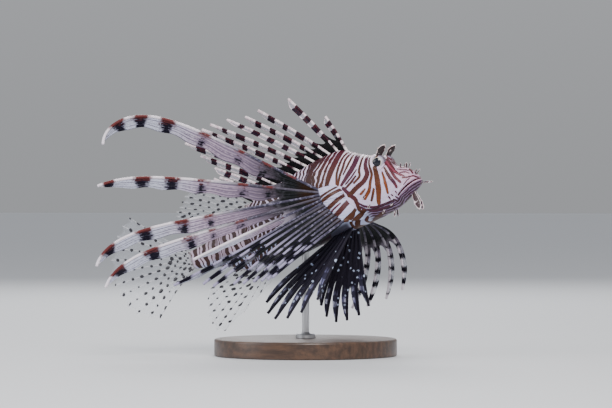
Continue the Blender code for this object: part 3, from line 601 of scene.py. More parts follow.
# %% The strokes of the head
PINK, RED, PURPLE, MAROON, BROWN, ORANGE = range(6)
FAR = 3.0
STROKE_STEP = 0.25
HEAD_STROKES = [
    ((2.6, BROWN), (1.8, 1.9, 1.4), [(48, 38), (52.5, 31.5), (57, 25.5), (60.5, 20), (62.5, 16)]),
    ((2.8, 4.4), (0.4, 0.6, 0.45), [(42, 36.5), (47, 32.5), (50.5, 27.5), (53, 22.5), (54.8, 15.5)]),
    ((2.8, 4.4), (0.4, 0.65, 0.45), [(40.5, 35), (45.5, 30), (48, 25), (51, 20.5), (53.8, 14.3)]),
    ((4.2, 3.6), (0.3, 0.5, 0.25), [(39, 33.5), (43, 27.2), (45.5, 24), (48.5, 20.4)]),
    ((PURPLE, 2.4), (1.65, 1.55, 0.6), [(36, 34), (37.6, 28), (41, 23), (46, 18.3), (51.5, 13.6)]),
    ((2.6, 2.6), (0.15, 0.3, 0.2), [(38.5, 20.7), (42.5, 17.2), (48.4, 13.2)]),
    ((3.8, 4.2), (0.35, 0.58, 0.45), [(32, 31), (34.5, 24.5), (36.8, 19), (37, 16.2), (42.2, 12.2)]),
    ((3.8, 3.2), (0.35, 0.55, 0.4), [(40, 16.5), (44, 13.5), (49.5, 10.4)]),
    ((2.2, 4), (0.7, 1.35, 1.4), [(29, 30), (31.6, 20), (31.4, 16.5), (35, 11.5), (41, 8.7), (47.6, 5.2)]),
    ((3.4, ORANGE), (0.35, 0.6, 0.95),
     [(26.5, 30), (28.6, 20.8), (28.5, 15), (31, 9.5), (33, 4.5), (38, -0.2)]),
    ((ORANGE, ORANGE), (0.4, 0.58, 0.45), [(35.8, 5.6), (39.8, 3.3)]),
    ((4.6, BROWN), (0.4, 0.62, 0.45), [(30, 4), (32, 0.5), (34.2, -3)]),
    ((BROWN, 4.7), (1.1, 1.6, 0.95), [(25.2, 18), (25.8, 11), (26.8, 4), (30.4, -6.2)]),
    ((BROWN, BROWN), (0.5, 0.8, 0.6), [(22.5, 28), (23, 25), (23.2, 23)]),
    ((ORANGE, ORANGE), (0.25, 0.68, 0.45), [(21.4, 13.3), (21.2, 6), (22, -1.5)]),
    ((4.4, RED), (0.25, 0.85, 0.5), [(19.2, 15.7), (18, 10.2), (15.6, 3.5), (15.2, 0.5)]),
    ((1.4, RED), (0.25, 0.55, 0.48), [(16.6, 14.4), (14.2, 7.4), (11.9, 3.0)]),
    ((RED, RED), (0.05, 0.15, 0.12), [(20.1, 25), (18, 18.6), (15.5, 12.6), (10.6, 7.4)]),
    ((PINK, PINK), (0.05, 0.26, 0.12), [(19.2, 24.6), (17, 18.2), (14.4, 12.1), (9.5, 6.8)]),
    ((RED, RED), (0.0, 0.10, 0.05), [(18.2, 24.0), (16, 17.6), (13.3, 11.5), (8.6, 6.4)]),
    ((RED, RED), (0.25, 0.2, 0.1), [(9.7, 5.6), (6.5, 5.0), (3.5, 4.9), (1.1, 3.1)]),
    ((1.2, RED), (-0.1, 0.05, -0.1), [(16.0, 19.2), (13.5, 15.4)]),
    ((1.2, RED), (-0.05, 0.08, 0.0), [(13.0, 17), (10.4, 13.4), (6.5, 12.0)]),
    ((RED, 1.4), (-0.1, 0.08, 0.0), [(12.6, 12.8), (9.2, 11.2), (5.5, 9.6)]),
    ((1.2, RED), (-0.1, 0.08, -0.05), [(11.6, 9.6), (8, 9.2), (5.2, 7.4)]),
    ((RED, RED), (-0.1, 0.12, 0.0), [(5.9, 11.6), (4.3, 8.6), (3.4, 6.6)]),
    ((RED, RED), (-0.1, 0.08, 0.0), [(3.6, 9.6), (2.5, 7.4), (1.9, 5.6)]),
    ((RED, BROWN), (0.0, 0.12, 0.0), [(5.3, 3.9), (7.2, 3.0), (10.1, 0.7)]),
    ((RED, RED), (0.05, 0.2, 0.05), [(0, 2.1), (2.5, 1.8), (7.2, 0.2), (12.6, -2.6), (16.4, -5)]),
    ((RED, PURPLE), (-0.2, -0.05, -0.2), [(17.2, 21.5), (18.2, 18.0), (21, 15.7)]),
    ((PURPLE, RED), (-0.1, 0.15, -0.1), [(20.5, -3.0), (19.6, -4.6)]),
    ((PURPLE, PURPLE), (0.0, 0.3, 0.0), [(18.4, -5.2), (17.4, -7.0)]),
    ((MAROON, MAROON), (-0.1, 0.2, 0.0), [(22.6, -3.6), (22.2, -6.0)]),
    ((PURPLE, PURPLE), (0.1, 0.35, 0.1), [(20.2, -6.6), (18.8, -8.4)]),
    ((RED, RED), (-0.15, 0.1, -0.1), [(17.0, -1.6), (16.6, -3.4)]),
    ((PURPLE, PURPLE), (0.3, 0.55, 0.3), [(44.5, -1), (39.5, -5.8), (32, -8.2), (21, -7.3)]),
    ((PURPLE, PURPLE), (0.3, 0.5, 0.3), [(45, -3.2), (40, -7.8), (33, -10.2), (23, -9.8)]),
]
THROAT_STROKES = [
    ((BROWN, BROWN), (0.95, 1.2, 0.9),
     [(41.5, -7.6), (47.5, -10.8), (51.2, -14), (52.9, -16), (47.4, -17.5)]),
    ((3.6, 3.6), (0.5, 0.7, 0.55), [(42.2, -12.4), (45, -14.4), (43.2, -16.3), (38, -14.7), (31, -12.6)]),
    ((BROWN, BROWN), (0.4, 0.55, 0.4), [(48.6, -7.4), (50, -9.5), (51.7, -10.9)]),
    ((BROWN, BROWN), (0.6, 0.75, 0.6), [(53.1, -10.2), (55.3, -13.5), (55.3, -16.6), (51.1, -19.2)]),
]
FRONT_BAND = ((2.2, BROWN), (0.8, 1.15, 0.9), [(50.7, 11.1), (47.5, 5.5), (44.5, 0), (44.7, -6.7)])
LOBE_STROKES = [
    FRONT_BAND,
    ((BROWN, BROWN), (0.3, 0.5, 0.5), [(53.3, 14), (59, 12.1), (72, 8.4)]),
    ((3.4, 4.4), (0.8, 0.95, 0.8), [(48.8, 9.5), (51.5, 10.8), (59, 9.2), (72, 5.0)]),
    ((3.4, 4.2), (0.8, 1.15, 1.0), [(49.7, 6.9), (55.5, 4.5), (62, 1.5), (72, -1.8)]),
    ((RED, MAROON), (0.2, 0.4, 0.5), [(54.5, 1.6), (61, -1.5), (66, -4), (72, -5.2)]),
    ((2.8, 4.2), (1.25, 1.4, 1.0), [(47.1, 3.1), (52, -0.5), (59, -4.9), (72, -9.0)]),
    ((BROWN, BROWN), (0.55, 0.95, 0.8), [(46.4, -4.6), (49.6, -7.5), (58, -12.0)]),
]


def stroke_numbers(points, strokes):
    """The distance to the nearest stroke's edge, less than 0 inside it, and that stroke's ink."""
    places = swayed(points)
    edge, ink = np.full(len(places), FAR), np.zeros(len(places))
    for inks, halves, knots in strokes:
        knots = np.array(knots, float)
        run = np.append(0, np.cumsum(np.linalg.norm(np.diff(knots, axis=0), axis=1)))
        steps = np.linspace(0, run[-1], int(run[-1] / STROKE_STEP) + 2)
        line = np.stack([curve(list(zip(run, column)), steps) for column in knots.T], -1)
        half = curve(list(zip((0, 0.5, 1), halves)), steps / run[-1])
        inside = (places > line.min(axis=0) - FAR) & (places < line.max(axis=0) + FAR)
        near = np.flatnonzero(inside.all(axis=1))
        away = np.linalg.norm(places[near, None] - line[None], axis=2) - half
        first = away.argmin(axis=1)
        nearest = away[np.arange(len(near)), first]
        closer = nearest < edge[near]
        edge[near[closer]] = nearest[closer]
        ink[near[closer]] = np.interp(steps[first[closer]] / run[-1], (0, 1), inks)
    return {"edge": edge, "ink": ink}


print("strokes:", len(HEAD_STROKES) + len(THROAT_STROKES) + len(LOBE_STROKES))

# %% [markdown]
# The skin is one mesh from the lips to the tail root, much finer than the solids, with the fleshy bases
# of the pectoral fins as part of it. Rings are close together on the head, where the mouth, the nostrils
# and the rims round the eyes are real relief, and further apart towards the tail.

# %% The skin's mesh
HEAD_RINGS, TRUNK_RINGS, SKIN_SIDES = 190, 96, 264


def skin_rings():
    head = 0.05 + 60 * np.linspace(0, 1, HEAD_RINGS) ** 1.35
    trunk = np.linspace(head[-1], FISH_LENGTH, TRUNK_RINGS)[1:]
    return np.concatenate([head, trunk])


def skin_grid():
    turns = np.linspace(0, 2 * math.pi, SKIN_SIDES, endpoint=False)
    along, turn = np.meshgrid(skin_rings(), turns, indexing="ij")
    grid = body_points(along, turn)
    points = np.vstack([grid.reshape(-1, 3), grid[0].mean(0), grid[-1].mean(0) + [0.6, 0, 0]])
    return placed(points), closed_faces(len(grid), SKIN_SIDES)


def pectoral_roots(side, share):
    """The far edge of the fleshy base of a pectoral fin, where its rays start."""
    along = curve([(0, 67.0), (0.35, 66.5), (0.7, 62.5), (1, 56.7)], share)
    height = curve([(0, 15.2), (0.5, 3.2), (1, -10.6)], share)
    return placed(np.stack([along, side * (21.5 - 1.5 * share), height], -1))


def fleshy_base(side, finish):
    """The fleshy base of a pectoral fin: a thick blade out of the shoulder, with a ridge for each ray."""
    columns, rows = 110, 44
    share = np.linspace(-0.05, 1.05, columns)
    roots = [skin_at(a, h, side) for a, h in zip(curve([(-0.1, 57.5), (1.1, 45.5)], share),
                                                 curve([(-0.1, 16.5), (1.1, -14.0)], share))]
    inner = placed(np.array(roots) - np.array([0, side * 3.0, 0]))
    ends = pectoral_roots(side, np.clip(share, 0, 1))
    ends += (ends - pectoral_roots(side, np.array([0.5]))) * (np.abs(share - 0.5) > 0.5)[:, None] * 0.06
    reach = np.linspace(0, 1.03, rows)
    grid = inner[None] * (1 - reach[:, None, None]) + ends[None] * reach[:, None, None]
    grid[..., 1] += side * (np.sin(np.clip(reach, 0, 1) * math.pi) * 1.9)[:, None]
    across = np.clip(1.3 * np.sin(np.linspace(0.2, math.pi - 0.2, columns)), 0, 1)
    thick = (8.2 - 5.8 * reach**1.3)[:, None] * across[None] ** 0.7
    ridges = 0.35 * np.cos(share * 13 * 2 * math.pi)[None] * smooth(0.45, 1.0, reach)[:, None]
    made = Sheets()
    made.add(grid, thick + ridges)
    return made.piece("fleshy_base", finish)


# %% [markdown]
# Under neutral light the ground is a cool, faintly pink white. Over the lower part of the fish it is
# painted with a lilac shade, and under the throat, along the belly and over the fleshy bases with a cool
# bluish shade. Strokes draw the head, the throat and the fleshy bases. From the shoulder on the phase
# takes over: wide bars with three thin lines between them, then a dark flank crossed by thin white lines,
# then single bars again on the tail. Widths are in millimetres, because the phase is turned into a
# distance by its own pace.

# %% The skin's paint
GROUND = (0.80, 0.68, 0.76)
GROUND_SHADE = (0.44, 0.33, 0.45)
# painted shade: a lilac tint laid over the lower part of the fish, which is out of the light
LOW_PAINTED_SHADE = (0.56, 0.48, 0.70)
SNOUT_GROUND = (0.50, 0.22, 0.32)
TAIL_GROUND = (0.50, 0.36, 0.44)
JAW_GROUND = (0.15, 0.075, 0.18)
# painted shade: a cool bluish tint under the throat, along the belly and over the fleshy bases
COOL_PAINTED_SHADE = (0.46, 0.50, 0.72)
BELLY = (0.016, 0.010, 0.020)
DEEP_INK = (0.018, 0.003, 0.006)
INKS = [(0.27, 0.045, 0.08), (0.120, 0.008, 0.018), (0.058, 0.006, 0.028), (0.066, 0.006, 0.011),
        (0.060, 0.014, 0.002), (0.190, 0.040, 0.002)]
STROKE_SPREAD = 0.36


def flank_bars(phase, pace, ragged, wander):
    """The marks behind the shoulder: how dark they are, and which of them are thin."""
    gap = abs((phase + wander * 0.3).wrapped())
    slim = phase.step(TAIL_STARTS - 0.3, TAIL_STARTS + 0.3)
    wide = (gap * pace + ragged + slim * 1.2).step(3.0, 2.7)
    inner = (abs(gap + wander - 0.28) * pace + ragged * 0.6).step(1.35, 1.1)
    middle = (abs(0.5 - gap + wander * 0.6) * pace + ragged * 0.7 + slim * 0.95).step(1.55, 1.3)
    thin = (inner * pace.step(8.0, 10.5)).either(middle * pace.step(4.5, 6.5))
    between = (0.5 - abs(((phase + wander * 0.25) * 4).wrapped())) * pace * 0.25
    rear = (between + ragged * 0.35).step(0.50, 0.74)
    in_rear = phase.step(REAR_STARTS, REAR_STARTS + 0.05) * phase.step(TAIL_STARTS, TAIL_STARTS - 0.05)
    plain = wide.either(thin)
    return plain * (1 - in_rear) + rear * in_rear, thin * (1 - in_rear)


def skin_paint(name):
    made, shader, wire = new_material(name, 0.42, Subsurface_Weight=0.06, Subsurface_Scale=0.001,
                                      Specular_IOR_Level=0.35)
    spot = place_on(wire)
    coarse = noise(wire, spot, 0.11, 2.0)
    fine = noise(wire, spot, 0.55, 3.0)
    ragged = (fine - 0.5) * 0.7
    wander = (noise(wire, spot, 0.22, 2.0) - 0.5) * 0.10
    phase, pace, base, jaw, below, belly, cool = stored(wire, "phase pace base jaw below belly cool")
    edge = stored(wire, "edge") + ragged * 0.7 - STROKE_SPREAD
    flank, thin = flank_bars(phase, pace, ragged, wander)
    on_flank = stored(wire, "flank").step(-0.15, 0.15) * (1 - base)
    stroke = edge.step(0.14, -0.14)
    line = abs(((below + (coarse - 0.5) * 2.2 + (fine - 0.5) * 0.7) / 1.3).wrapped())
    jaw_line = (line + (fine - 0.5) * 0.25).step(0.36, 0.26) * jaw * (1 - base)
    dark = (on_flank * flank).either((1 - on_flank) * stroke.either(jaw_line))
    # low is 1 on the lower part of the fish: there the bars take browner inks, and the ground gets a painted
    # lilac shade
    low = wire.node("ShaderNodeSeparateXYZ", {}, {0: spot}, 2).step(150, 116)
    flank_ink = coated((0.44 + low * 0.34 + thin * 0.05).ramp(INKS),
                       (phase.step(4.1, 5.2) * (fine * 0.6 + 0.4), DEEP_INK))
    rim = edge.step(-0.6, 0.1) * (1 - on_flank) * 0.7
    ink = coated((stored(wire, "ink") / (len(INKS) - 1)).ramp(INKS),
                 ((1 - stroke) * jaw, INKS[2]),
                 (on_flank, flank_ink),
                 (rim + fine.step(0.5, 0.7) * 0.3, DEEP_INK))
    skin_colour = coated(GROUND,
                         ((coarse * 0.8 + fine * 0.5).step(0.55, 1.0), GROUND_SHADE),
                         # painted lilac shade over the lower part of the fish
                         (low * 0.8, LOW_PAINTED_SHADE),
                         (phase.step(0.9, -0.4) * 0.6, SNOUT_GROUND),
                         (phase.step(7.6, 9.0) * 0.7, TAIL_GROUND),
                         (jaw * 0.85, JAW_GROUND),
                         # painted cool shade under the throat, along the belly and over the fleshy bases
                         (cool.either(base * 0.55), COOL_PAINTED_SHADE),
                         (dark, ink),
                         (belly * (1 - base) * 0.9, BELLY))
    feed(wire, shader, Base_Color=skin_colour)
    grain = noise(wire, spot, 2.2, 3.0, 0.6)
    feed(wire, shader, Roughness=grain * 0.25 + 0.32)
    bumped(wire, shader, grain * 0.6 + noise(wire, spot, 0.8, 2.0) * 0.6 - dark * 0.25, 0.2)
    return made


# %% [markdown]
# Every point of the skin gets the numbers that its paint reads. The body and the two fleshy bases have
# strokes of their own, and then all three are joined into one piece with one paint, so no seam shows.

# %% The whole skin
def marked(made, strokes, base):
    """Stores on a piece of skin all that its paint needs."""
    points = np.array([vert.co for vert in made.data.vertices]) / MM
    numbers = dict(phase_numbers(points), **stroke_numbers(points, strokes))
    add_numbers(made.data, dict(numbers, base=np.full(len(points), base)))
    return made


skin_finish = skin_paint("striped_skin")
skin = faced_outwards(new_piece("skin", *skin_grid(), skin_finish))
marked(skin, HEAD_STROKES + THROAT_STROKES + [FRONT_BAND], 0.0)
bases = [marked(fleshy_base(side, skin_finish), LOBE_STROKES + THROAT_STROKES, 1.0)
         for side in (LEFT, RIGHT)]
skin = joined("skin", [skin, *bases], skin_finish)
finished(skin, "striped_skin", "head", "trunk", "tail_stalk", "pectoral_base_left", "pectoral_base_right")

# %% [markdown]
# The eye is a glossy ball that sits deep under the brow. Its iris is silver, and two brown spokes on it
# carry on the bars below and above, which hide it: only the round dark pupil with its thin pale rim
# stands out. All of that could be built as rings, but on so small a ball paint does the same.

# %% The eyes
EYE_RADIUS, EYE_ACROSS = 5.3, 9.4
PUPIL_HALF = 3.1
SPOKE_TURN = -1.757
EYE_SIDES, EYE_RINGS = 72, 48
SILVER, SILVER_SHADE = (0.62, 0.60, 0.68), (0.17, 0.13, 0.22)
# the socket colour is painted shade on the rim of the ball, where it sinks in under the brow
SPOKE_BROWN, SOCKET_PAINTED_SHADE = (0.07, 0.028, 0.02), (0.045, 0.018, 0.035)
PUPIL_RIM, PUPIL_BLACK = (0.72, 0.62, 0.50), (0.006, 0.008, 0.016)


def eye_paint(name, centre):
    made, shader, wire = new_material(name, 0.14, Coat_Weight=0.5, Coat_Roughness=0.03,
                                      Specular_IOR_Level=0.2)
    spot = place_on(wire)
    shifted = wire.node("ShaderNodeVectorMath", {"operation": "SUBTRACT"}, {0: spot, 1: tuple(centre)})
    x = wire.node("ShaderNodeSeparateXYZ", {}, {0: shifted}, 0)
    z = wire.node("ShaderNodeSeparateXYZ", {}, {0: shifted}, 2)
    off = (x * x + z * z).power(0.5)
    turn = wire.maths("ARCTAN2", z, x)
    fine = noise(wire, spot, 0.8, 3.0)
    spoke = abs(((turn - SPOKE_TURN) / (2 * math.pi) + (fine - 0.5) * 0.05).wrapped())
    upper = abs(((turn + SPOKE_TURN) / (2 * math.pi) + (fine - 0.5) * 0.08).wrapped())
    colour = coated(SILVER,
                    (fine * 0.5 + off.step(3.4, 4.9) * 0.5, SILVER_SHADE),
                    (spoke.step(0.095, 0.065).either(upper.step(0.07, 0.04)), SPOKE_BROWN),
                    # painted shade round the rim of the ball, where it sinks under the brow
                    (off.step(4.5, 5.0) * (fine * 0.8 + 0.3), SOCKET_PAINTED_SHADE),
                    (off.step(PUPIL_HALF + 0.42, PUPIL_HALF + 0.2) * 0.9, PUPIL_RIM),
                    (off.step(PUPIL_HALF + 0.1, PUPIL_HALF - 0.1), PUPIL_BLACK))
    feed(wire, shader, Base_Color=colour)
    return made


for side, name in SIDES:
    centre = placed([EYE_AT[0], side * EYE_ACROSS, EYE_AT[1]])
    mesh = bpy.data.meshes.new("eye_ball_" + name)
    work = bmesh.new()
    bmesh.ops.create_uvsphere(work, u_segments=EYE_SIDES, v_segments=EYE_RINGS, radius=EYE_RADIUS * MM)
    bmesh.ops.translate(work, verts=work.verts, vec=(centre * MM).tolist())
    work.to_mesh(mesh)
    work.free()
    mesh.shade_smooth()
    mesh.materials.append(eye_paint("eye_" + name, centre))
    finished(in_scene("eye_ball_" + name, mesh), "eye", "eye_" + name)

# %% [markdown]
# Flaps of skin break up the head's outline, and all of them are leaves that bend a little. A leaf could
# be modelled once and bent by a modifier. It is swept along a short path instead, as a lens that swells
# and tapers, because then its root and its way can be said in the fish's own frame.

# %% A leaf of skin
LEAF_SWELL = [(0, 0.62), (0.3, 0.8), (0.6, 1.0), (0.85, 0.72), (1, 0.12)]


def walked(root, headings, length):
    """Points along a path that starts at root and follows the headings, one for each step."""
    steps = unit(headings) * length / len(headings)
    return np.vstack([root, root + np.cumsum(steps, axis=0)])


def leaf(root, way, facing, length, width, thickness, bend, finish, rows=26, sides=18):
    """A leaf that starts at root, runs this way and bends, in degrees, to where it faces."""
    way = unit(np.array(way, float))
    facing = unit(np.array(facing, float) - way * (np.array(facing, float) @ way))
    beside = np.cross(way, facing)
    share = np.linspace(0, 1, rows)
    swing = np.radians(bend) * (share[1:] + share[:-1]) / 2
    headings = np.cos(swing)[:, None] * way + np.sin(swing)[:, None] * facing
    path = walked(np.array(root, float), headings, length)
    swell = curve(LEAF_SWELL, share) * (1 + 0.07 * np.sin(share * 23))
    turns = np.arange(sides) * 2 * math.pi / sides
    angle = np.radians(bend) * share[:, None, None]
    normal = np.cos(angle) * facing - np.sin(angle) * way
    wide = np.cos(turns)[None, :, None] * beside * (width / 2 * swell)[:, None, None]
    deep = np.sin(turns)[None, :, None] * normal * (thickness / 2 * (1 - 0.75 * share))[:, None, None]
    points = np.vstack([(path[:, None] + wide + deep).reshape(-1, 3), path[0], path[-1]])
    numbers = {"share": np.append(np.repeat(share, sides), [0, 1]),
               "rim": np.append(np.tile(np.abs(np.cos(turns)), rows), [0, 1])}
    return faced_outwards(new_piece("leaf", points, closed_faces(rows, sides), finish, numbers))


# %% [markdown]
# There is a large mottled feeler over each eye, pale leaves hang from the chin, and small ones stand on
# the snout and the cheeks. They are placed one by one, since their number and places are the fish's own.

# %% Feelers and skin flaps
TOP_FLAPS = [((7.0, 2.6, 11.8), (0.1, 0.3, 1.0), 4.2, 1.4), ((2.4, 2.2, 6.0), (0.4, 0.3, 1.0), 4.0, 1.1),
             ((11.0, 4.0, 13.2), (0.2, 0.2, 1.0), 3.6, 1.3), ((0.9, 1.7, -0.8), (1.0, 0.15, 0.1), 7.8, 1.3),
             ((7.9, 1.8, -4.9), (0.44, 0.06, -1.0), 13.9, 4.6),
             ((23.6, 2.4, -12.0), (0, 0.15, -1.0), 6.2, 1.6)]
CHEEK_FLAPS = [((36.0, -5.0), 4.2), ((22.0, -8.2), 3.6), ((29.0, -11.0), 4.0), ((37.0, 2.0), 3.6)]
FEELER_AT = np.array([23.6, 9.6, 23.2])
FEELER_WAY = np.array([0.34, 0.04, 0.94])
FEELER_FACING = {RIGHT: (1.0, -0.9, 0.0), LEFT: (1.0, -0.6, 0.0)}
FEELER_SIZE = (13.0, 5.8, 2.4)
FEELER_BEND = 35
FEELER_PALE, FEELER_DARK = (0.66, 0.56, 0.56), (0.020, 0.009, 0.010)
FLAP_PALE, FLAP_DARK = (0.72, 0.60, 0.64), (0.030, 0.006, 0.012)


def leaf_paint(name, pale, dark, rim_from):
    """A mottled leaf, dark along its middle and pale round its rim."""
    made, shader, wire = new_material(name, 0.5, Subsurface_Weight=0.1, Subsurface_Scale=0.001)
    spot = place_on(wire)
    mottle = noise(wire, spot, 0.45, 3.0)
    share, rim = stored(wire, "share rim")
    ragged_rim = rim + share.step(0.75, 1.1) + (mottle - 0.5) * 0.35
    inside = ragged_rim.step(rim_from + 0.1, rim_from - 0.1)
    blots = mottle.step(0.60, 0.66) * 0.9
    feed(wire, shader, Base_Color=(inside * (1 - blots)).colour(pale, dark))
    bumped(wire, shader, mottle, 0.2)
    return made


feeler_finish = leaf_paint("feeler", FEELER_PALE, FEELER_DARK, rim_from=0.86)
flap_finish = leaf_paint("skin_flap", FLAP_PALE, FLAP_DARK, rim_from=0.78)
for side, name in SIDES:
    mirror = np.array([1, side, 1])
    feeler = leaf(placed(FEELER_AT * mirror), FEELER_WAY * mirror, FEELER_FACING[side], *FEELER_SIZE,
                  FEELER_BEND, feeler_finish)
    feeler.name = "feeler_" + name
    finished(feeler, "striped_skin", "tentacle_" + name)
flaps = []
for side in (RIGHT, LEFT):
    for (along, out, height), (ahead, aside, up), length, width in TOP_FLAPS:
        root = placed([along, side * out, height])
        way = (ahead, side * aside, up)
        flaps.append(leaf(root, way, (0.25, side, 0.1), length, width, 0.5 + 0.15 * width, 10, flap_finish))
    for (along, height), length in CHEEK_FLAPS:
        root = placed(skin_at(along, height, side) - np.array([0, side * 0.9, -0.4]))
        flaps.append(leaf(root, (-0.35, side * 0.55, -0.8), (0, side, 0), length, 1.5, 0.9, -20, flap_finish))
finished(joined("skin_flaps", flaps, flap_finish), "striped_skin")

# %% [markdown]
# Every fin is built from rays. A ray is a path that starts at an angle and turns steadily, or late, as
# the real one droops. Curves drawn by hand would do for one fin, but there are more than eighty rays
# here, so each is walked in small steps from a few angles. Its root is sunk in the flesh.

# %% Paths of the rays
SUNK = 2.6


def heading(rise, out, side):
    """The way of a ray that leans back: rise above the level, out of the middle plane."""
    return np.stack([-np.cos(rise) * np.cos(out), side * np.sin(out), np.sin(rise) * np.cos(out)], -1)


def sink(rays):
    """Moves each ray back along its first step, so that its root is sunk in what it grows from."""
    return np.array([ray - unit(ray[1] - ray[0]) * SUNK for ray in rays])


def grown(roots, lengths, rises, outs, side, rows, droops=0.0, lates=1.0, splay=0.0):
    """Rays that start at their own angles, in degrees, and droop, the later the larger late is."""
    each = (np.broadcast_to(values, len(roots)) for values in (lengths, rises, outs, droops, lates))
    share = (np.arange(rows - 1) + 0.5) / (rows - 1)
    away = splay * share
    return sink([walked(root, heading(np.radians(rise + droop * share**late), np.radians(out + away), side),
                        length + SUNK)
                 for root, length, rise, out, droop, late in zip(roots, *each)])


def on_middle(along, height):
    """Points of the fish's middle plane."""
    return placed(np.stack([along, np.zeros(len(along)), height], -1))


print("the rays' roots are sunk by", SUNK, "mm")

# %% [markdown]
# In each ray there is a rod, a tapering tube that follows the path. That is work for Geometry Nodes: the
# paths are a mesh of edges with a radius stored on each point, and a tree sweeps a circle along them.
# The result is turned into a plain mesh at once, because only plain meshes leave the file.

# %% Rods by Geometry Nodes
ROD_SIDES = 8


def tube_tree(finish):
    """A tree that sweeps a circle along the edges of its mesh, as wide as the stored radius says."""
    tree = bpy.data.node_groups.new("rods", "GeometryNodeTree")
    tree.interface.new_socket("Geometry", in_out="INPUT", socket_type="NodeSocketGeometry")
    sides = tree.interface.new_socket("Sides", in_out="INPUT", socket_type="NodeSocketInt")
    tree.interface.new_socket("Geometry", in_out="OUTPUT", socket_type="NodeSocketGeometry")
    source, out, path, thick, radius, ring, sweep, real, paint = (tree.nodes.new(kind) for kind in (
        "NodeGroupInput", "NodeGroupOutput", "GeometryNodeMeshToCurve", "GeometryNodeSetCurveRadius",
        "GeometryNodeInputNamedAttribute", "GeometryNodeCurvePrimitiveCircle", "GeometryNodeCurveToMesh",
        "GeometryNodeRealizeInstances", "GeometryNodeSetMaterial"))
    radius.data_type = "FLOAT"
    radius.inputs["Name"].default_value = "radius_mm"
    ring.inputs["Radius"].default_value = MM
    sweep.inputs["Fill Caps"].default_value = True
    paint.inputs["Material"].default_value = finish
    for start, output, end, entry in (
            (source, "Geometry", path, "Mesh"), (path, "Curve", thick, "Curve"),
            (radius, "Attribute", thick, "Radius"), (source, "Sides", ring, "Resolution"),
            (thick, "Curve", sweep, "Curve"), (ring, "Curve", sweep, "Profile Curve"),
            (sweep, "Mesh", real, "Geometry"), (real, "Geometry", paint, "Geometry"),
            (paint, "Geometry", out, "Geometry")):
        tree.links.new(start.outputs[output], end.inputs[entry])
    return tree, sides.identifier


def rods(rays, radii, finish, **numbers):
    """Tubes along the rays (ray, row, 3), with a radius for each point, as one mesh."""
    count, rows = rays.shape[:2]
    mesh = bpy.data.meshes.new("paths")
    edges = [(ray * rows + row, ray * rows + row + 1) for ray in range(count) for row in range(rows - 1)]
    mesh.from_pydata((rays.reshape(-1, 3) * MM).tolist(), edges, [])
    add_numbers(mesh, dict({name: np.broadcast_to(v, (count, rows)) for name, v in numbers.items()},
                           radius_mm=np.broadcast_to(radii, (count, rows))))
    made = in_scene("rods", mesh)
    tree, sides = tube_tree(finish)
    sweep = made.modifiers.new("rods", "NODES")
    sweep.node_group = tree
    sweep[sides] = ROD_SIDES
    swept = bpy.data.meshes.new_from_object(made.evaluated_get(bpy.context.evaluated_depsgraph_get()))
    made.modifiers.clear()
    made.data = swept
    bpy.data.node_groups.remove(tree)
    swept.shade_smooth()
    return made


print("rods: tubes of", ROD_SIDES, "sides")

# %% [markdown]
# A fin's marks follow its bent rays, so their paint can't be told from places in the room. Each point
# keeps how far it lies from the root and the tip, across its vane, and from the edges of the marks that
# the fin wears. It also keeps whether it is part of a rod, a ribbon or a web.

# %% What the paint of a fin reads
ROD, RIBBON, WEB = 0.0, 1.0, 2.0


def unmarked(number, to_tip, across):
    """The marks of a plain ray: their edge is far away."""
    return {"edge": np.full(to_tip.shape, FAR), "patch": np.full(to_tip.shape, FAR)}


def ray_numbers(kind, number, mm, length, across, marks=unmarked):
    """What a fin's paint needs at points this far along a ray and across its vane."""
    mm, across = np.broadcast_arrays(np.asarray(mm, float), across)
    return dict(marks(number, length - mm, across), kind=np.full(mm.shape, kind),
                ray=np.full(mm.shape, float(number)), mm=mm, to_tip=length - mm, share=mm / length,
                across=across)


def ray_lengths(rays):
    return np.linalg.norm(np.diff(rays, axis=1), axis=2).sum(axis=1)


def frames(rays):
    """For each point of each ray: its way, the way to the next ray, the room there and the normal."""
    ways = unit(np.gradient(rays, axis=1))
    towards = np.diff(rays, axis=0)
    towards = np.concatenate([towards, towards[-1:]])
    towards -= (towards * ways).sum(axis=2, keepdims=True) * ways
    room = np.linalg.norm(towards, axis=2)
    towards /= np.maximum(room[:, :, None], 1e-6)
    return ways, towards, room, np.cross(ways, towards)


print("kinds of points:", {"rod": ROD, "ribbon": RIBBON, "web": WEB})

# %% [markdown]
# The ribbon behind a ray is as wide as its outline says, and never wider than most of the room to the
# next ray. Fine flutes run along it. The web fills the room between neighbours near the root and ends in
# a hollow curve, as a stretched skin does. Both are sheets made by hand, because each joins unlike edges.

# %% Ribbons, webs and whole fins
RIBBON_COLUMNS, WEB_COLUMNS, WEB_ROWS = 11, 9, 28


def add_ribbons(made, rays, lead, vane, fit, marks, thick=0.5, flute=0.16, flutes=4.0, curl=0.0):
    """The ribbon behind each ray. lead and vane give its widths, thick its thickness at the ray."""
    ways, towards, room, normals = frames(rays)
    share = np.linspace(0, 1, rays.shape[1])
    across = np.linspace(0, 1, RIBBON_COLUMNS)[None]
    for number, (ray, length) in enumerate(zip(rays, ray_lengths(rays))):
        ahead = np.minimum(lead(share), 0.30 * room[max(number - 1, 0)])
        behind = np.minimum(vane(share, number), fit * room[number])
        reach = -ahead[:, None] + (ahead + behind)[:, None] * across
        fade = smooth(0.0, 0.15, share) * smooth(0.2, 2.5, behind)
        ripple = flute * np.sin(across * flutes * 2 * math.pi + number) * fade[:, None]
        sway = np.sin(share * 9 + number * 1.7) * smooth(0.1, 0.4, share)
        lift = ripple + curl * across**2 * sway[:, None]
        grid = ray[:, None] + towards[number][:, None] * reach[..., None]
        grid = grid + normals[number][:, None] * lift[..., None]
        depth = thick * (1 - 0.55 * across) * (1 - 0.5 * share[:, None]) + 0.06
        made.add(grid, depth, **ray_numbers(RIBBON, number, share[:, None] * length, length, across, marks))


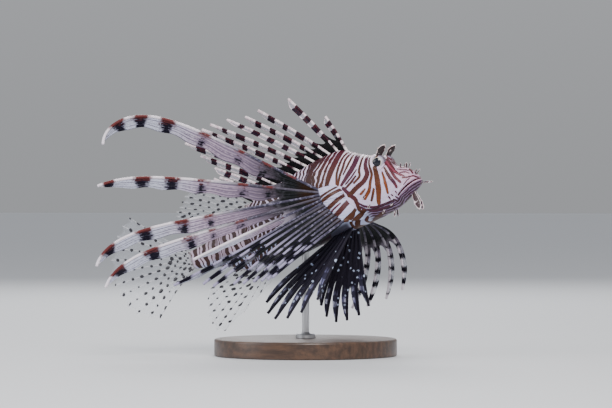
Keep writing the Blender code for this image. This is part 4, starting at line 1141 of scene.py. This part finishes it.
def add_webs(made, rays, ends, hollow=0.35, thick=0.32, sag=0.6):
    """The web from each ray to the next: ends says how far along the ray it reaches."""
    share = np.linspace(0, 1, rays.shape[1])
    lengths = ray_lengths(rays)
    across = np.linspace(0, 1, WEB_COLUMNS)[None]
    steps = np.linspace(0, 1, WEB_ROWS)[:, None]
    for number, end in enumerate(ends):
        shares = steps * end * (1 - hollow * np.sin(across * math.pi) ** 0.8)
        near, far = (np.stack([np.interp(shares, share, ray[:, i]) for i in range(3)], -1)
                     for ray in rays[number:number + 2])
        grid = near * (1 - across[..., None]) + far * across[..., None]
        dip = sag * np.sin(across * math.pi) * np.sin(steps * math.pi * 0.9)
        length = lengths[number]
        made.add(grid + sheet_normals(grid) * dip[..., None], thick,
                 **ray_numbers(WEB, number, shares * length, length, across))


def add_rods(rays, radius, finish, marks):
    """Rods along the rays, with the same numbers as the ribbons have."""
    share = np.linspace(0, 1, rays.shape[1])
    numbers = [ray_numbers(ROD, number, share * length, length, 0.0, marks)
               for number, length in enumerate(ray_lengths(rays))]
    by_name = {key: np.array([each[key] for each in numbers]) for key in numbers[0]}
    return rods(rays, radius[None], finish, **by_name)


def rayed_fin(name, finish, slot, node, rays, rodded, radius, lead, vane, fit, ends, marks, hollow, **ribbon):
    """A whole fin: ribbons, webs and rods in one piece, which replaces this node."""
    body = Sheets()
    add_ribbons(body, rays, lead, vane, fit, marks, **ribbon)
    add_webs(body, rays, ends, hollow)
    sticks = add_rods(rays[:rodded], radius, finish, marks)
    finished(joined(name, [body.piece("sheets", finish), sticks], finish), slot, node)


print("a ribbon is", RIBBON_COLUMNS, "points wide, a web", WEB_COLUMNS, "by", WEB_ROWS)

# %% [markdown]
# The pectoral fins are the fish's wings, with fourteen rays each. The right one is swept back along the
# body, and its upper four rays are the long plumes. The left one is spread, and its rays turn forward
# one after the other. The photo gives the right rays one by one, as an angle, a length and a droop. Of
# the left ones it gives a few, and those between follow smoothly.

# %% The rays of the pectoral fins
# of each right ray: its length, its rise, its droop and how late it droops
RIGHT_RAYS = [(170, 29, -134, 6.2), (154, 6.5, -33, 6), (167, -11.5, -76, 8), (165, -18, -66, 8),
              (98, -26, -4, 2), (118, -34, 4, 1), (101, -33, -12, 2), (97, -36, -11, 2),
              (86, -40, -12, 2), (82, -42, -12, 2), (77, -44.5, -10, 2), (74, -46, -10, 2),
              (72, -47, -8, 2), (70, -47, -6, 2)]
LEFT_KEYS = (1, 7, 11, 14)
LEFT_ROOT_WAYS = [(-0.50, 0.86, 0.16), (-0.34, 0.92, -0.16), (0.05, 0.92, -0.36), (0.42, 0.88, -0.08)]
LEFT_TIP_WAYS = [(-0.66, 0.74, -0.14), (-0.50, 0.62, -0.60), (-0.45, 0.14, -0.88), (-0.20, 0.30, -0.93)]
LEFT_LENGTHS = [158, 150, 164, 160, 110, 112, 106, 102, 100, 99, 97, 93, 88, 82]
UPPER_RAYS = 5
RAY_ROWS = 90


def right_pectoral_rays(rows):
    lengths, rises, droops, lates = np.array(RIGHT_RAYS, float).T
    roots = pectoral_roots(RIGHT, np.linspace(0, 1, len(lengths)))
    lower = np.maximum(0, np.arange(len(lengths)) - UPPER_RAYS) / 8
    return grown(roots, lengths, rises, 22 + 20 * lower, RIGHT, rows, droops, lates, splay=4)


def left_pectoral_rays(rows):
    roots = pectoral_roots(LEFT, np.linspace(0, 1, len(LEFT_LENGTHS)))
    share = ((np.arange(rows - 1) + 0.5) / (rows - 1))[:, None]
    rays = []
    for number, length in enumerate(LEFT_LENGTHS):
        ways = [np.array([curve(list(zip(LEFT_KEYS, column)), number + 1) for column in zip(*table)])
                for table in (LEFT_ROOT_WAYS, LEFT_TIP_WAYS)]
        rays.append(walked(roots[number], ways[0] * (1 - share) + ways[1] * share, length + SUNK))
    return sink(rays)


print("pectoral rays:", len(RIGHT_RAYS), "right and", len(LEFT_LENGTHS), "left")

# %% [markdown]
# The upper rays of a pectoral fin are the fish's plumes: pale lilac ribbons with fine lines along them,
# crossed by dark blotches, each under a red-brown patch of the leading edge, and with a white tip. Near
# the tip a blotch fills the ribbon, and further in it shrinks to a dot. On the real fish no two plumes
# have them at the same places, so each plume has its own list, in millimetres from its tip.

# %% The marks of the pectoral fins
RIGHT_BLOTCHES = [[19, 36, 56, 83, 111, 130, 148], [6, 31, 52, 73, 101, 119], [14, 43, 70, 89],
                  [15, 42, 70, 87, 107], []]
LEFT_BLOTCHES = [[17, 42, 66, 93, 118, 140], [8, 33, 60, 84, 110], [12, 40, 65, 92, 117],
                 [16, 41, 69, 94], []]


def nearest_mark(to_tip, centres):
    """How far these points are from the nearest mark along the ray, and where that mark is."""
    gaps = np.abs(to_tip[..., None] - np.array(centres, float))
    nearest = gaps.argmin(-1)
    return gaps.min(-1), np.array(centres, float)[nearest]


def blotched(blotches):
    """Marks of dark blotches with a red patch on their leading edge: large near the tip, then dots."""
    def marks(number, to_tip, across):
        if number >= len(blotches) or not blotches[number]:
            return unmarked(number, to_tip, across)
        gap, centre = nearest_mark(to_tip, blotches[number])
        size = smooth(92, 40, centre)
        beside = (across - 0.66) * 11 * (1 - size)
        lean = (across - 0.5) * 1.5 * size
        return {"edge": np.hypot(gap + lean, beside) - 2.2 - 1.9 * size,
                "patch": np.maximum(gap - 3.2 - 2.2 * size, (across - 0.17) * 9)}
    return marks


def banded(first, pitch, half, until):
    """Marks of even bands across a ray, until so many millimetres from its tip, a little out of step."""
    def marks(number, to_tip, across):
        shift = 2.2 * math.sin(number * 2.4)
        phase = (to_tip - first - shift) / pitch
        gap = np.abs(phase - np.round(phase)) * pitch
        away = np.maximum(to_tip - until - 5 * math.sin(number * 1.3), first + shift - half - to_tip)
        return {"edge": np.maximum(gap - half, away), "patch": np.full(to_tip.shape, FAR)}
    return marks


print("blotches:", sum(map(len, RIGHT_BLOTCHES)), "right and", sum(map(len, LEFT_BLOTCHES)), "left")

# %% [markdown]
# One paint serves all pectoral rays. From the root outwards it goes from an almost black web, through
# lilac with fine lines, to a bluish tip. Blotches, patches and rods lie over that. The fringe below the
# plumes wears the same paint with more of the dark root, and on the right with greyer rods. The membrane
# lets some light through where nothing dark lies on it, as the real one does.

# %% Paint of the plumes and the fringe
LILAC, LILAC_SHADE, LILAC_DIM = (0.54, 0.42, 0.54), (0.085, 0.06, 0.12), (0.16, 0.12, 0.18)
BLUISH, EDGE_PALE, WEB_PALE = (0.55, 0.57, 0.70), (0.82, 0.78, 0.82), (0.30, 0.28, 0.34)
BLOTCH = (0.004, 0.003, 0.010)
RED_BROWN = (0.125, 0.030, 0.030)
ROD_PALE = (0.78, 0.71, 0.78)
ROD_DUSK = (0.055, 0.050, 0.080)
ROD_GLINT = (0.26, 0.24, 0.34)
ROD_DARK = (0.08, 0.07, 0.09)
FRINGE_PALE = (0.34, 0.31, 0.46)
WEB_DARK, WEB_DUST = (0.003, 0.004, 0.004), (0.045, 0.045, 0.060)
ROOT_BROWN = (0.018, 0.007, 0.003)


def plume_paint(name, dark_from=0.40, dark_to=0.18, rod_ink=RED_BROWN, clear=0.26, rod_pale=ROD_PALE):
    """Dark root, lined ribbons with blotches, and pale tips; towards the root the rods dim and glint."""
    made, shader, wire = new_material(name, 0.5, Specular_IOR_Level=0.08)
    share, across, to_tip, ray, kind, edge, red = stored(wire, "share across to_tip ray kind edge patch")
    fine, broad = noise(wire, place_on(wire), 0.5, 3.0), noise(wire, place_on(wire), 0.20, 2.0) - 0.5
    streak = ((across * 46.0).sine() + (across * 27.0 + ray * 3.0).sine()) * 0.25 + 0.5
    outer = share.step(0.45, 0.75)
    lines = (streak + (fine - 0.5) * 0.9 + (1 - outer) * 0.16).step(0.48, 0.88)
    ragged = (fine - 0.5) * 4.0 + (lines - 0.4) * 2.0 + broad * 7.0
    blotch = (edge + ragged).step(1.6, -1.4)
    patch = (red + ragged * 0.8).step(2.2, -1.8)
    root = (share + (fine - 0.5) * 0.08 + across * 0.04).step(dark_from, dark_to)
    dusk = (lines * 0.2 + fine.step(0.55, 0.8) * 0.25).colour(WEB_DARK, WEB_DUST)
    web, rod = kind.step(1.4, 1.6), kind.step(0.6, 0.4)
    every_other = abs((ray * 0.5).wrapped()).step(0.3, 0.4) * share.step(0.45, 0.15)
    dusky = share.step(0.62, 0.28)
    rod_colour = coated(rod_pale,
                        (dusky, ROD_DUSK),
                        (dusky * fine.step(0.50, 0.64) * 0.6, ROD_GLINT),
                        (every_other * 0.8, ROD_DARK),
                        (blotch.either(patch), rod_ink))
    colour = coated(LILAC,
                    (outer, BLUISH),
                    (lines * 0.75, LILAC_SHADE),
                    (share.step(0.66, 0.30) * 0.6, LILAC_DIM),
                    ((1 - across).step(0.86, 0.98) * 0.6, EDGE_PALE),
                    (blotch, BLOTCH),
                    (patch * 0.7, RED_BROWN),
                    (root, dusk),
                    (web * (1 - root), WEB_PALE),
                    (share.step(0.13, 0.07) * web, ROOT_BROWN),
                    (rod, rod_colour),
                    (to_tip.step(5.0, 2.5), rod_pale))
    feed(wire, shader, Base_Color=colour)
    vane = kind.step(0.5, 1.0) * across.step(0.1, 0.5)
    feed(wire, shader, Alpha=1 - vane * (1 - blotch) * (1 - root) * clear * (outer + 0.5))
    feed(wire, shader, Roughness=lines * 0.2 + 0.35)
    bumped(wire, shader, lines * -0.5 + fine * 0.3, 0.25)
    return made


# %% [markdown]
# Each pectoral fin is two pieces, the plumes and the fringe below them. A plume's ribbon is scalloped,
# and is widest about a third of the way out. The rays of the fringe have narrow ribbons and more web
# between them. All are made by the same function, which takes outlines and marks and makes a whole fin.

# %% The pectoral fins
PLUME_OUTLINE = [(0, 1.2), (0.1, 3.4), (0.3, 9.6), (0.5, 9.0), (0.7, 7.8), (0.88, 6.2), (0.96, 3.0), (1, 0.3)]


def plume_vane(share, number):
    """How wide a plume's ribbon is. It has shallow scallops, and the last upper ray's is narrow."""
    wide = curve(PLUME_OUTLINE, share)
    scallop = 1 + 0.08 * np.cos((0.92 - share) / 0.143 * 2 * math.pi + math.pi)
    return wide * scallop * (1.12 if number == 0 else 1.0 if number < UPPER_RAYS - 1 else 0.42)


def narrow_vane(share, number):
    return curve([(0, 0.8), (0.3, 2.6), (0.75, 3.4), (0.92, 2.0), (1, 0.25)], share)


plume_finish = plume_paint("plume")
fringe_finishes = {"right": plume_paint("fringe_right", 0.94, 0.60, BLOTCH, 0.60, FRINGE_PALE),
                   "left": plume_paint("fringe_left", 0.62, 0.42, BLOTCH, 0.55)}
share = np.linspace(0, 1, RAY_ROWS)
for side_name, rays_of, blotches, bands in (
        ("right", right_pectoral_rays, RIGHT_BLOTCHES, banded(9, 17, 4.5, 44)),
        ("left", left_pectoral_rays, LEFT_BLOTCHES, banded(6, 10.5, 1.9, 60))):
    rays = rays_of(RAY_ROWS)
    upper, lower = rays[:UPPER_RAYS + 1], rays[UPPER_RAYS:]
    rayed_fin("plumes_" + side_name, plume_finish, "banded_fin", "pectoral_plumes_" + side_name,
              upper, UPPER_RAYS, 0.60 * (1 - 0.76 * share**1.5), lambda s: 0.8 - 0.5 * s, plume_vane, 0.85,
              [0.27, 0.27, 0.30, 0.36, 0.45], blotched(blotches), hollow=0.35, thick=0.6, curl=0.9)
    rayed_fin("fringe_" + side_name, fringe_finishes[side_name], "banded_fin", "pectoral_rays_" + side_name,
              lower, None, curve([(0, 0.34), (0.3, 0.24), (0.6, 0.24), (1, 0.12)], share),
              lambda s: 0.7 - 0.4 * s, narrow_vane, 0.8, [0.62] * (len(lower) - 1), bands, hollow=0.25,
              flutes=2.0, curl=0.5)

# %% [markdown]
# Thirteen long spines stand on the back. Each is a stiff rod with a narrow vane behind it that widens to
# a white paddle at the tip. They lean to the left and right by turns, as on a live fish, and the photo
# gives the length and the rise of each.

# %% Where the spines stand
SPINE_ALONG = (46.0, 122.0)
SPINE_LEAN = 5.0
SPINE_LENGTHS = [29, 54, 61, 65, 75, 77, 80, 83, 78, 62, 46, 34, 35]
SPINE_RISES = [57, 44, 31, 27, 24, 23, 22, 20, 20, 20, 20, 22, 26]
SPINE_ROWS = 70


def spine_rays(rows):
    along = np.linspace(*SPINE_ALONG, len(SPINE_LENGTHS))
    leans = SPINE_LEAN * np.sin(np.arange(len(along)) * 2.1)
    roots = on_middle(along, curve(TOP, along) - 0.4)
    return grown(roots, SPINE_LENGTHS, np.array(SPINE_RISES) + 4, leans, LEFT, rows, droops=-8)


print("spines:", len(SPINE_LENGTHS), "of", min(SPINE_LENGTHS), "to", max(SPINE_LENGTHS), "mm")

# %% [markdown]
# Dark and pale bands take turns along a spine, and a nearly black web joins the lower part of each to
# the next one. A band's edge is a stored number, as on the plumes, and noise makes it ragged.

# %% The spines of the back
SPINE_BANDS = ((6.6, 1.9, 4.0), (9.6, 3.1, 7.0), (12.6, 2.9, 8.5))
SPINE_VANE = [(0, 1.4), (0.2, 2.6), (0.6, 3.5), (0.88, 3.9), (1, 0.6)]
SPINE_WEBS = [0.42, 0.30, 0.27, 0.25, 0.24, 0.24, 0.24, 0.25, 0.28, 0.36, 0.5, 0.6]
SPINE_PALE, SPINE_ROSE, VANE_GREY = (0.78, 0.68, 0.72), (0.38, 0.20, 0.26), (0.36, 0.36, 0.48)
BAND_BLACK, BAND_RED = (0.010, 0.005, 0.014), (0.075, 0.012, 0.018)
FOOT_BLACK, FOOT_DUST, FOOT_PALE = (0.003, 0.003, 0.004), (0.022, 0.013, 0.018), (0.82, 0.74, 0.75)


def spine_bands(number, to_tip, across):
    """Even dark bands below a white tip: pitch, half width and tip. The first two spines are busier."""
    pitch, half, tip = SPINE_BANDS[min(number, 2)]
    phase = (to_tip - tip - half - 1.5 * math.sin(number * 1.9)) / pitch
    gap = np.abs(phase - np.round(phase)) * pitch
    half = half * (1 + 0.3 * np.sin(np.round(phase) * 2.7 + number))
    return {"edge": np.maximum(gap - half, tip - to_tip), "patch": np.full(to_tip.shape, FAR)}


def spine_paint(name):
    made, shader, wire = new_material(name, 0.45, Specular_IOR_Level=0.08)
    kind, across, mm, edge = stored(wire, "kind across mm edge")
    fine = noise(wire, place_on(wire), 0.6, 3.0)
    dark = (edge + (fine - 0.5) * 1.8).step(0.3, -0.3)
    rear = across.step(0.80, 0.92)
    behind_rod = kind.step(0.4, 0.6)
    vane = behind_rod * across.step(0.1, 0.4)
    ink = (fine.step(0.45, 0.7) * 0.7 + kind.step(0.5, 0.3) * 0.2).colour(BAND_BLACK, BAND_RED)
    root = (behind_rod * (mm + (fine - 0.5) * 8).step(21.0, 15.0)).either(kind.step(1.4, 1.6))
    colour = coated(SPINE_PALE,
                    (fine.step(0.4, 0.7) * 0.6, SPINE_ROSE),
                    (vane * (1 - rear) * 0.8, VANE_GREY),
                    (dark, ink),
                    (root, fine.step(0.55, 0.8).colour(FOOT_BLACK, FOOT_DUST)),
                    (mm.step(9.0, 4.0) * kind.step(0.6, 0.4), FOOT_PALE))
    feed(wire, shader, Base_Color=colour, Alpha=1 - vane * (1 - rear) * (1 - root) * (1 - dark) * 0.8)
    bumped(wire, shader, fine, 0.15)
    return made


radius = curve([(0, 0.42), (0.25, 0.50), (0.8, 0.26), (0.93, 0.40), (1, 0.18)], np.linspace(0, 1, SPINE_ROWS))
rayed_fin("back_spines", spine_paint("banded_spine"), "banded_fin", "dorsal_spines", spine_rays(SPINE_ROWS),
          None, radius, lambda s: 0.5 - 0.3 * s, lambda s, number: curve(SPINE_VANE, s), 0.62, SPINE_WEBS,
          spine_bands, hollow=0.3, thick=0.55, flute=0.07, curl=0.4)

# %% [markdown]
# The soft part of the back fin, the anal fin and the tail fin are clear membranes with no free rays. So
# each is one curved sheet through its rays, not a ribbon for each, and the rays are raised in its own
# surface. Its edge has a small notch between one ray and the next.

# %% A sheet through rays
def through_rays(rays, places, shares):
    """Points of the smooth surface through the rays, at places counted in rays and shares along."""
    count, rows = rays.shape[:2]
    low = np.clip(np.floor(places).astype(int), 0, count - 2)
    part = (places - low)[:, None, None]
    padded = np.concatenate([2 * rays[:1] - rays[1:2], rays, 2 * rays[-1:] - rays[-2:-1]])
    a, b, c, d = (padded[low + i] for i in range(4))
    blend = 0.5 * (2 * b + (c - a) * part + (2 * a - 5 * b + 4 * c - d) * part**2
                   + (3 * b - a - 3 * c + d) * part**3)
    steps = np.linspace(0, 1, rows)
    return np.stack([np.stack([np.interp(shares[:, i], steps, blend[i, :, k]) for k in range(3)], -1)
                     for i in range(len(places))], axis=1)


def clear_fin(name, rays, finish, notch=0.05, columns=8, rows=70, ripple=0.5):
    """One sheet through the rays, thicker along each, with a small notch in the edge between them."""
    count = len(rays)
    places = np.linspace(0, count - 1, (count - 1) * columns + 1)
    part = places - np.round(places)
    limit = 1 - notch * np.sin(np.abs(part) * math.pi) ** 1.2
    shares = np.linspace(0, 1, rows)[:, None] * limit[None]
    grid = through_rays(rays, places, shares)
    wave = ripple * np.cos(places * 2 * math.pi)[None] * smooth(0.2, 1.0, shares)
    wave = wave + ripple * 1.6 * np.sin(places * 0.9)[None] * smooth(0.3, 1.0, shares)
    spread = np.linalg.norm(np.gradient(grid, axis=1), axis=2) * columns
    thick = 0.24 + 0.7 * bell(part[None] * spread, 0.42) * (1 - 0.75 * shares)
    lengths = ray_lengths(rays)
    mm = shares * np.interp(places, np.arange(count), lengths)[None]
    made = Sheets()
    made.add(grid + sheet_normals(grid) * wave[..., None], thick,
             ray=places[None], share=shares, mm=mm, spread=spread)
    return made.piece(name, finish)


# %% [markdown]
# On these fins only faint pale rays and rows of small black spots show, and the rest is nearly clear.
# The spots sit on the rays, in no strict order. Loose noise would strew them anywhere, so each row is
# counted along its ray and shifted by its own amount.

# %% Paint of the clear fins
CLEAR_BLUE, CLEAR_ROD = (0.70, 0.73, 0.84), (0.84, 0.82, 0.86)
CLEAR_DOT, CLEAR_ROOT = (0.010, 0.008, 0.014), (0.24, 0.12, 0.10)


def spotted_paint(name, pitch=7.0, radius=1.3, clear=0.07):
    """A see-through membrane with faint rays and a row of dark dots along each of them."""
    made, shader, wire = new_material(name, 0.3, Coat_Weight=0.2)
    ray, mm, spread = stored(wire, "ray mm spread")
    spot = place_on(wire)
    fine = noise(wire, spot, 0.7, 2.0)
    uneven = noise(wire, spot, 0.16, 0.0)
    near = wire.maths("ROUND", ray)
    shift = (near * 1.83).sine() * 0.32 + (near * 0.9).sine() * 0.15 + (uneven - 0.5) * 0.5
    row = (mm / pitch + shift).wrapped() * pitch
    off = ray.wrapped() * spread
    size = uneven * 1.7 * radius + 0.1 * radius
    dot = ((row * row + off * off).power(0.5) - size + (fine - 0.5) * 0.5).step(0.12, -0.12)
    dot = dot * mm.step(3.0, 5.0)
    rod = abs(off).step(0.34, 0.10)
    pale = rod * (0.22 + fine * 0.3)
    root = mm.step(7.0, 1.0)
    colour = coated(CLEAR_BLUE, (rod, CLEAR_ROD), (dot, CLEAR_DOT), (root, CLEAR_ROOT))
    feed(wire, shader, Base_Color=colour, Alpha=dot.either(pale).either(root * 0.75) * (1 - clear) + clear)
    bumped(wire, shader, rod, 0.1)
    return made


spotted_finish = spotted_paint("spotted_membrane")
print("finish:", spotted_finish.name)

# %% [markdown]
# The rays of these fins stand in the middle plane: a row on the back, a row below and a fan at the end
# of the tail stalk. They change smoothly from one to the next, so a few knots give nearly all of them.

# %% The clear fins
CLEAR_ROWS = 60
share = np.linspace(0, 1, 11)
along = 126.5 + 24 * share
rays = grown(on_middle(along, curve(TOP, along) - 0.4),
             curve([(0, 41), (0.3, 46), (0.55, 46), (0.8, 40), (1, 29)], share),
             curve([(0, 27), (0.5, 12), (1, 4)], share), 0, LEFT, CLEAR_ROWS, droops=-6)
finished(clear_fin("soft_back_fin", rays, spotted_finish), "spotted_fin", "dorsal_soft_fin")

share = np.linspace(0, 1, 10)
along = 118 + 30 * share
rays = grown(on_middle(along, curve(BOTTOM, along) + 0.4), [16, 27, 39, 56, 57, 53, 48, 42, 36, 28],
             curve([(0, -60), (0.4, -50), (1, -30)], share), 0, LEFT, CLEAR_ROWS, droops=-6)
finished(clear_fin("under_fin", rays, spotted_finish), "spotted_fin", "anal_fin")

share = np.linspace(0, 1, 12)
fan = 36 - 92 * share
rays = grown(on_middle(np.full(12, 180.2), 5.4 - 10.8 * share),
             curve([(0, 55), (0.25, 61), (0.45, 65), (0.75, 60), (1, 46)], share),
             fan * 0.75 - 4, 0, LEFT, CLEAR_ROWS, droops=fan * 0.25)
finished(clear_fin("tail_fin", rays, spotted_finish, notch=0.04), "spotted_fin", "caudal_fin")

# %% [markdown]
# The pelvic fins are almost black, with round pale blue spots, and their rays end in free points that
# are banded dark and clear. They are made as the pectoral fringe is: rods, narrow ribbons and a web.

# %% The pelvic fins
PELVIC_INK, PELVIC_SHEEN = (0.007, 0.007, 0.012), (0.022, 0.017, 0.034)
PELVIC_POINT, PELVIC_DOT = (0.30, 0.30, 0.55), (0.50, 0.58, 0.78)
PELVIC_ROWS = 70
PELVIC_WEBS = [0.80, 0.78, 0.76, 0.74, 0.72]
# of each fin, ray by ray: how far they rise, how far they stand out and how long they are
PELVICS = ((RIGHT, "right", [-68, -63, -58, -53, -48, -43], [20, 20, 19, 18, 16, 14],
            [58, 70, 77, 81, 80, 74]),
           (LEFT, "left", [-88, -82, -76, -71, -66, -62], [18, 18, 17, 16, 15, 14],
            [60, 67, 71, 73, 70, 62]))


def pelvic_paint(name):
    made, shader, wire = new_material(name, 0.5, Specular_IOR_Level=0.15)
    share, kind, across, ray, to_tip = stored(wire, "share kind across ray to_tip")
    spot = place_on(wire)
    fine = noise(wire, spot, 0.6, 2.0)
    cells = wire.node("ShaderNodeTexVoronoi", {}, {"Vector": spot, "Scale": 0.21, "Randomness": 0.9})
    uneven = (noise(wire, spot, 0.12, 1.0) - 0.5) * 0.25
    dots = (cells + (fine - 0.5) * 0.16 + uneven).step(0.215, 0.165) * share.step(0.92, 0.80)
    streak = abs((across * 1.6 + ray * 0.37 + (fine - 0.5) * 0.5).wrapped()).step(0.24, 0.14)
    band = abs((to_tip / 9.0 + (ray * 2.1).sine() * 0.3 + (fine - 0.5) * 0.4).wrapped()).step(0.34, 0.26)
    free = to_tip.step(26.0, 15.0) * across.step(0.1, 0.35) * kind.step(0.5, 0.9) * kind.step(1.5, 1.1)
    pale = free * (1 - (streak * 0.8).either(band * 0.9))
    colour = coated(PELVIC_INK, (fine, PELVIC_SHEEN), (pale * 0.9, PELVIC_POINT), (dots, PELVIC_DOT))
    feed(wire, shader, Base_Color=colour, Alpha=1 - pale * 0.45)
    bumped(wire, shader, fine, 0.15)
    return made


def pelvic_vane(share, number):
    return curve([(0, 0.5), (0.4, 1.8), (0.75, 4.2), (0.92, 2.4), (1, 0.2)], share)


pelvic_finish = pelvic_paint("pelvic_membrane")
for side, side_name, rises, outs, lengths in PELVICS:
    number = np.arange(len(lengths))
    places = [56.0 + 1.6 * number, side * (5.6 - 0.5 * number), np.full(len(lengths), -14.6)]
    rays = grown(placed(np.stack(places, -1)), lengths, rises, outs, side, PELVIC_ROWS,
                 droops=-7, lates=2.0, splay=4)
    rayed_fin("pelvic_membrane_" + side_name, pelvic_finish, "dark_fin", "pelvic_fin_" + side_name,
              rays, None, 0.7 * (1 - 0.8 * np.linspace(0, 1, PELVIC_ROWS)), lambda s: 0.6 - 0.3 * s,
              pelvic_vane, 0.8, PELVIC_WEBS, unmarked, hollow=0.22, flute=0.08, curl=0.5)

# %% [markdown]
# The stand is plain: a turned disc of dark stained wood and a steel rod in a small foot. The rod keeps
# its solid and only gets a finish. The disc is turned again with a finer, rounded edge, because its rim
# is long and close to the camera.

# %% The stand
BASE_RADIUS, BASE_THICK, BASE_EDGE = 64.0, 12.0, 1.6
WOOD_DARK, WOOD_WARM = (0.035, 0.018, 0.011), (0.11, 0.055, 0.030)
STEEL_DARK, STEEL_PALE = (0.50, 0.50, 0.52), (0.66, 0.66, 0.67)


def wood_paint(name):
    made, shader, wire = new_material(name, 0.38, Coat_Weight=0.25, Coat_Roughness=0.25)
    spot = place_on(wire)
    squeezed = wire.node("ShaderNodeVectorMath", {"operation": "MULTIPLY"}, {0: spot, 1: (0.06, 1.0, 0.6)})
    rings = noise(wire, squeezed, 0.35, 4.0, 0.6)
    pores = noise(wire, squeezed, 3.0, 2.0)
    tone = (rings * 1.2 + pores * 0.3).step(0.5, 1.1)
    feed(wire, shader, Base_Color=tone.colour(WOOD_DARK, WOOD_WARM))
    feed(wire, shader, Roughness=pores * 0.2 + 0.3)
    bumped(wire, shader, pores, 0.05)
    return made


def steel_paint(name):
    made, shader, wire = new_material(name, 0.28, Metallic=1.0)
    spot = place_on(wire)
    brushed = wire.node("ShaderNodeVectorMath", {"operation": "MULTIPLY"}, {0: spot, 1: (1.0, 1.0, 0.03)})
    grain = noise(wire, brushed, 5.0, 2.0)
    feed(wire, shader, Base_Color=grain.colour(STEEL_DARK, STEEL_PALE))
    feed(wire, shader, Roughness=grain * 0.2 + 0.22)
    return made


def turned_disc(finish, segments=160, corner=6):
    """A disc turned from its outline, with a rounded upper and a bevelled lower edge."""
    angles = np.linspace(0, math.pi / 2, corner)
    upper = [(BASE_RADIUS - BASE_EDGE * (1 - math.sin(a)), BASE_THICK - BASE_EDGE * (1 - math.cos(a)))
             for a in angles]
    lower = [(BASE_RADIUS, 0.8), (BASE_RADIUS - 0.8, 0.0)]
    outline = np.array([(0.0, BASE_THICK), (BASE_RADIUS * 0.6, BASE_THICK), *upper, *lower, (0.0, 0.0)])
    turns = np.linspace(0, 2 * math.pi, segments, endpoint=False)
    rings = outline[1:-1]
    points = [(r * math.cos(t), r * math.sin(t), z) for r, z in rings for t in turns]
    points += [(0, 0, BASE_THICK), (0, 0, 0)]
    faces = closed_faces(len(rings), segments)
    made = faced_outwards(new_piece("stand_disc", np.array(points), faces, finish))
    made.data.set_sharp_from_angle(angle=math.radians(35))
    return made


finished(turned_disc(wood_paint("dark_wood")), "dark_wood", "stand_base")
post = frame["nodes"]["stand_post"]
steel = steel_paint("brushed_steel")
for slot in post.material_slots:
    slot.material = steel

# %% [markdown]
# The camera stands 21 degrees ahead of the fish's right side, level with it and two metres away, with a
# long lens so that near and far fins keep their sizes. The snout comes where the photo has it, so the
# aim is worked out from that place and the scale.

# %% The camera
VIEW_TURN = math.radians(21)
CAMERA_AWAY = 2.0
PIXELS_PER_METRE = 1450.0
PHOTO_WIDTH, PHOTO_HEIGHT = 612, 408
SNOUT_PIXEL = (422.0, 181.0)
right_way = np.array([math.cos(VIEW_TURN), math.sin(VIEW_TURN), 0.0])
camera_way = np.array([math.sin(VIEW_TURN), -math.cos(VIEW_TURN), 0.0])
aim = SNOUT * MM
aim = aim + right_way * (PHOTO_WIDTH / 2 - SNOUT_PIXEL[0]) / PIXELS_PER_METRE
aim = aim + np.array([0, 0, (SNOUT_PIXEL[1] - PHOTO_HEIGHT / 2) / PIXELS_PER_METRE])
lens = bpy.data.cameras.new("camera")
lens.sensor_width = 36.0
lens.lens = lens.sensor_width * CAMERA_AWAY * PIXELS_PER_METRE / PHOTO_WIDTH
lens.clip_end = 80.0
camera = in_scene("camera", lens)
camera.location = aim + camera_way * CAMERA_AWAY
camera.rotation_euler = (math.pi / 2, 0, VIEW_TURN)
bpy.context.scene.camera = camera
print("camera height:", round(float(camera.location[2]), 3))

# %% [markdown]
# The fish hangs over a plain pale floor in soft studio light: a large key light from the front and above,
# a fill from the other side, a light from behind that draws the fins' edges, and a pale surround.

# %% Floor and light
FLOOR_REACH = 30
FLOOR_PALE = (0.60, 0.61, 0.63)
LOW_SKY, HIGH_SKY = (0.48, 0.49, 0.51), (0.80, 0.82, 0.86)


def area_light(name, place, size, power, aim, tint=(1, 1, 1)):
    lamp = bpy.data.lights.new(name, "AREA")
    lamp.shape = "DISK"
    lamp.size = size
    lamp.energy = power
    lamp.color = tint
    made = in_scene(name, lamp)
    made.location = place
    made.rotation_euler = (Vector(aim) - Vector(place)).to_track_quat("-Z", "Y").to_euler()


area_light("key", (0.7, -1.2, 1.4), 0.8, 37, (0, 0, 0.1), (1.0, 0.98, 0.96))
area_light("fill", (-1.3, -0.9, 0.7), 1.2, 12, (0, 0, 0.1), (0.95, 0.97, 1.0))
area_light("rim", (-0.6, 1.3, 1.1), 0.8, 16, (0, 0, 0.1))
floor_finish = new_material("pale_floor", 0.7, Base_Color=(*FLOOR_PALE, 1))[0]
corners = np.array([(-1, -1, 0), (1, -1, 0), (1, 1, 0), (-1, 1, 0)]) * FLOOR_REACH
floor = new_piece("floor", corners / MM, [(0, 1, 2, 3)], floor_finish)
world = bpy.data.worlds.new("studio")
world.use_nodes = True
sky = Wire(world.node_tree, None)
way = sky.node("ShaderNodeTexCoord", output=0)
height = sky.node("ShaderNodeSeparateXYZ", {}, {0: way}, 2)
tone = height.step(-0.02, 0.30).colour(LOW_SKY, HIGH_SKY)
backdrop = world.node_tree.nodes["Background"]
world.node_tree.links.new(tone.socket, backdrop.inputs["Color"])
backdrop.inputs["Strength"].default_value = 0.72
bpy.context.scene.world = world
print("floor and light: in place")
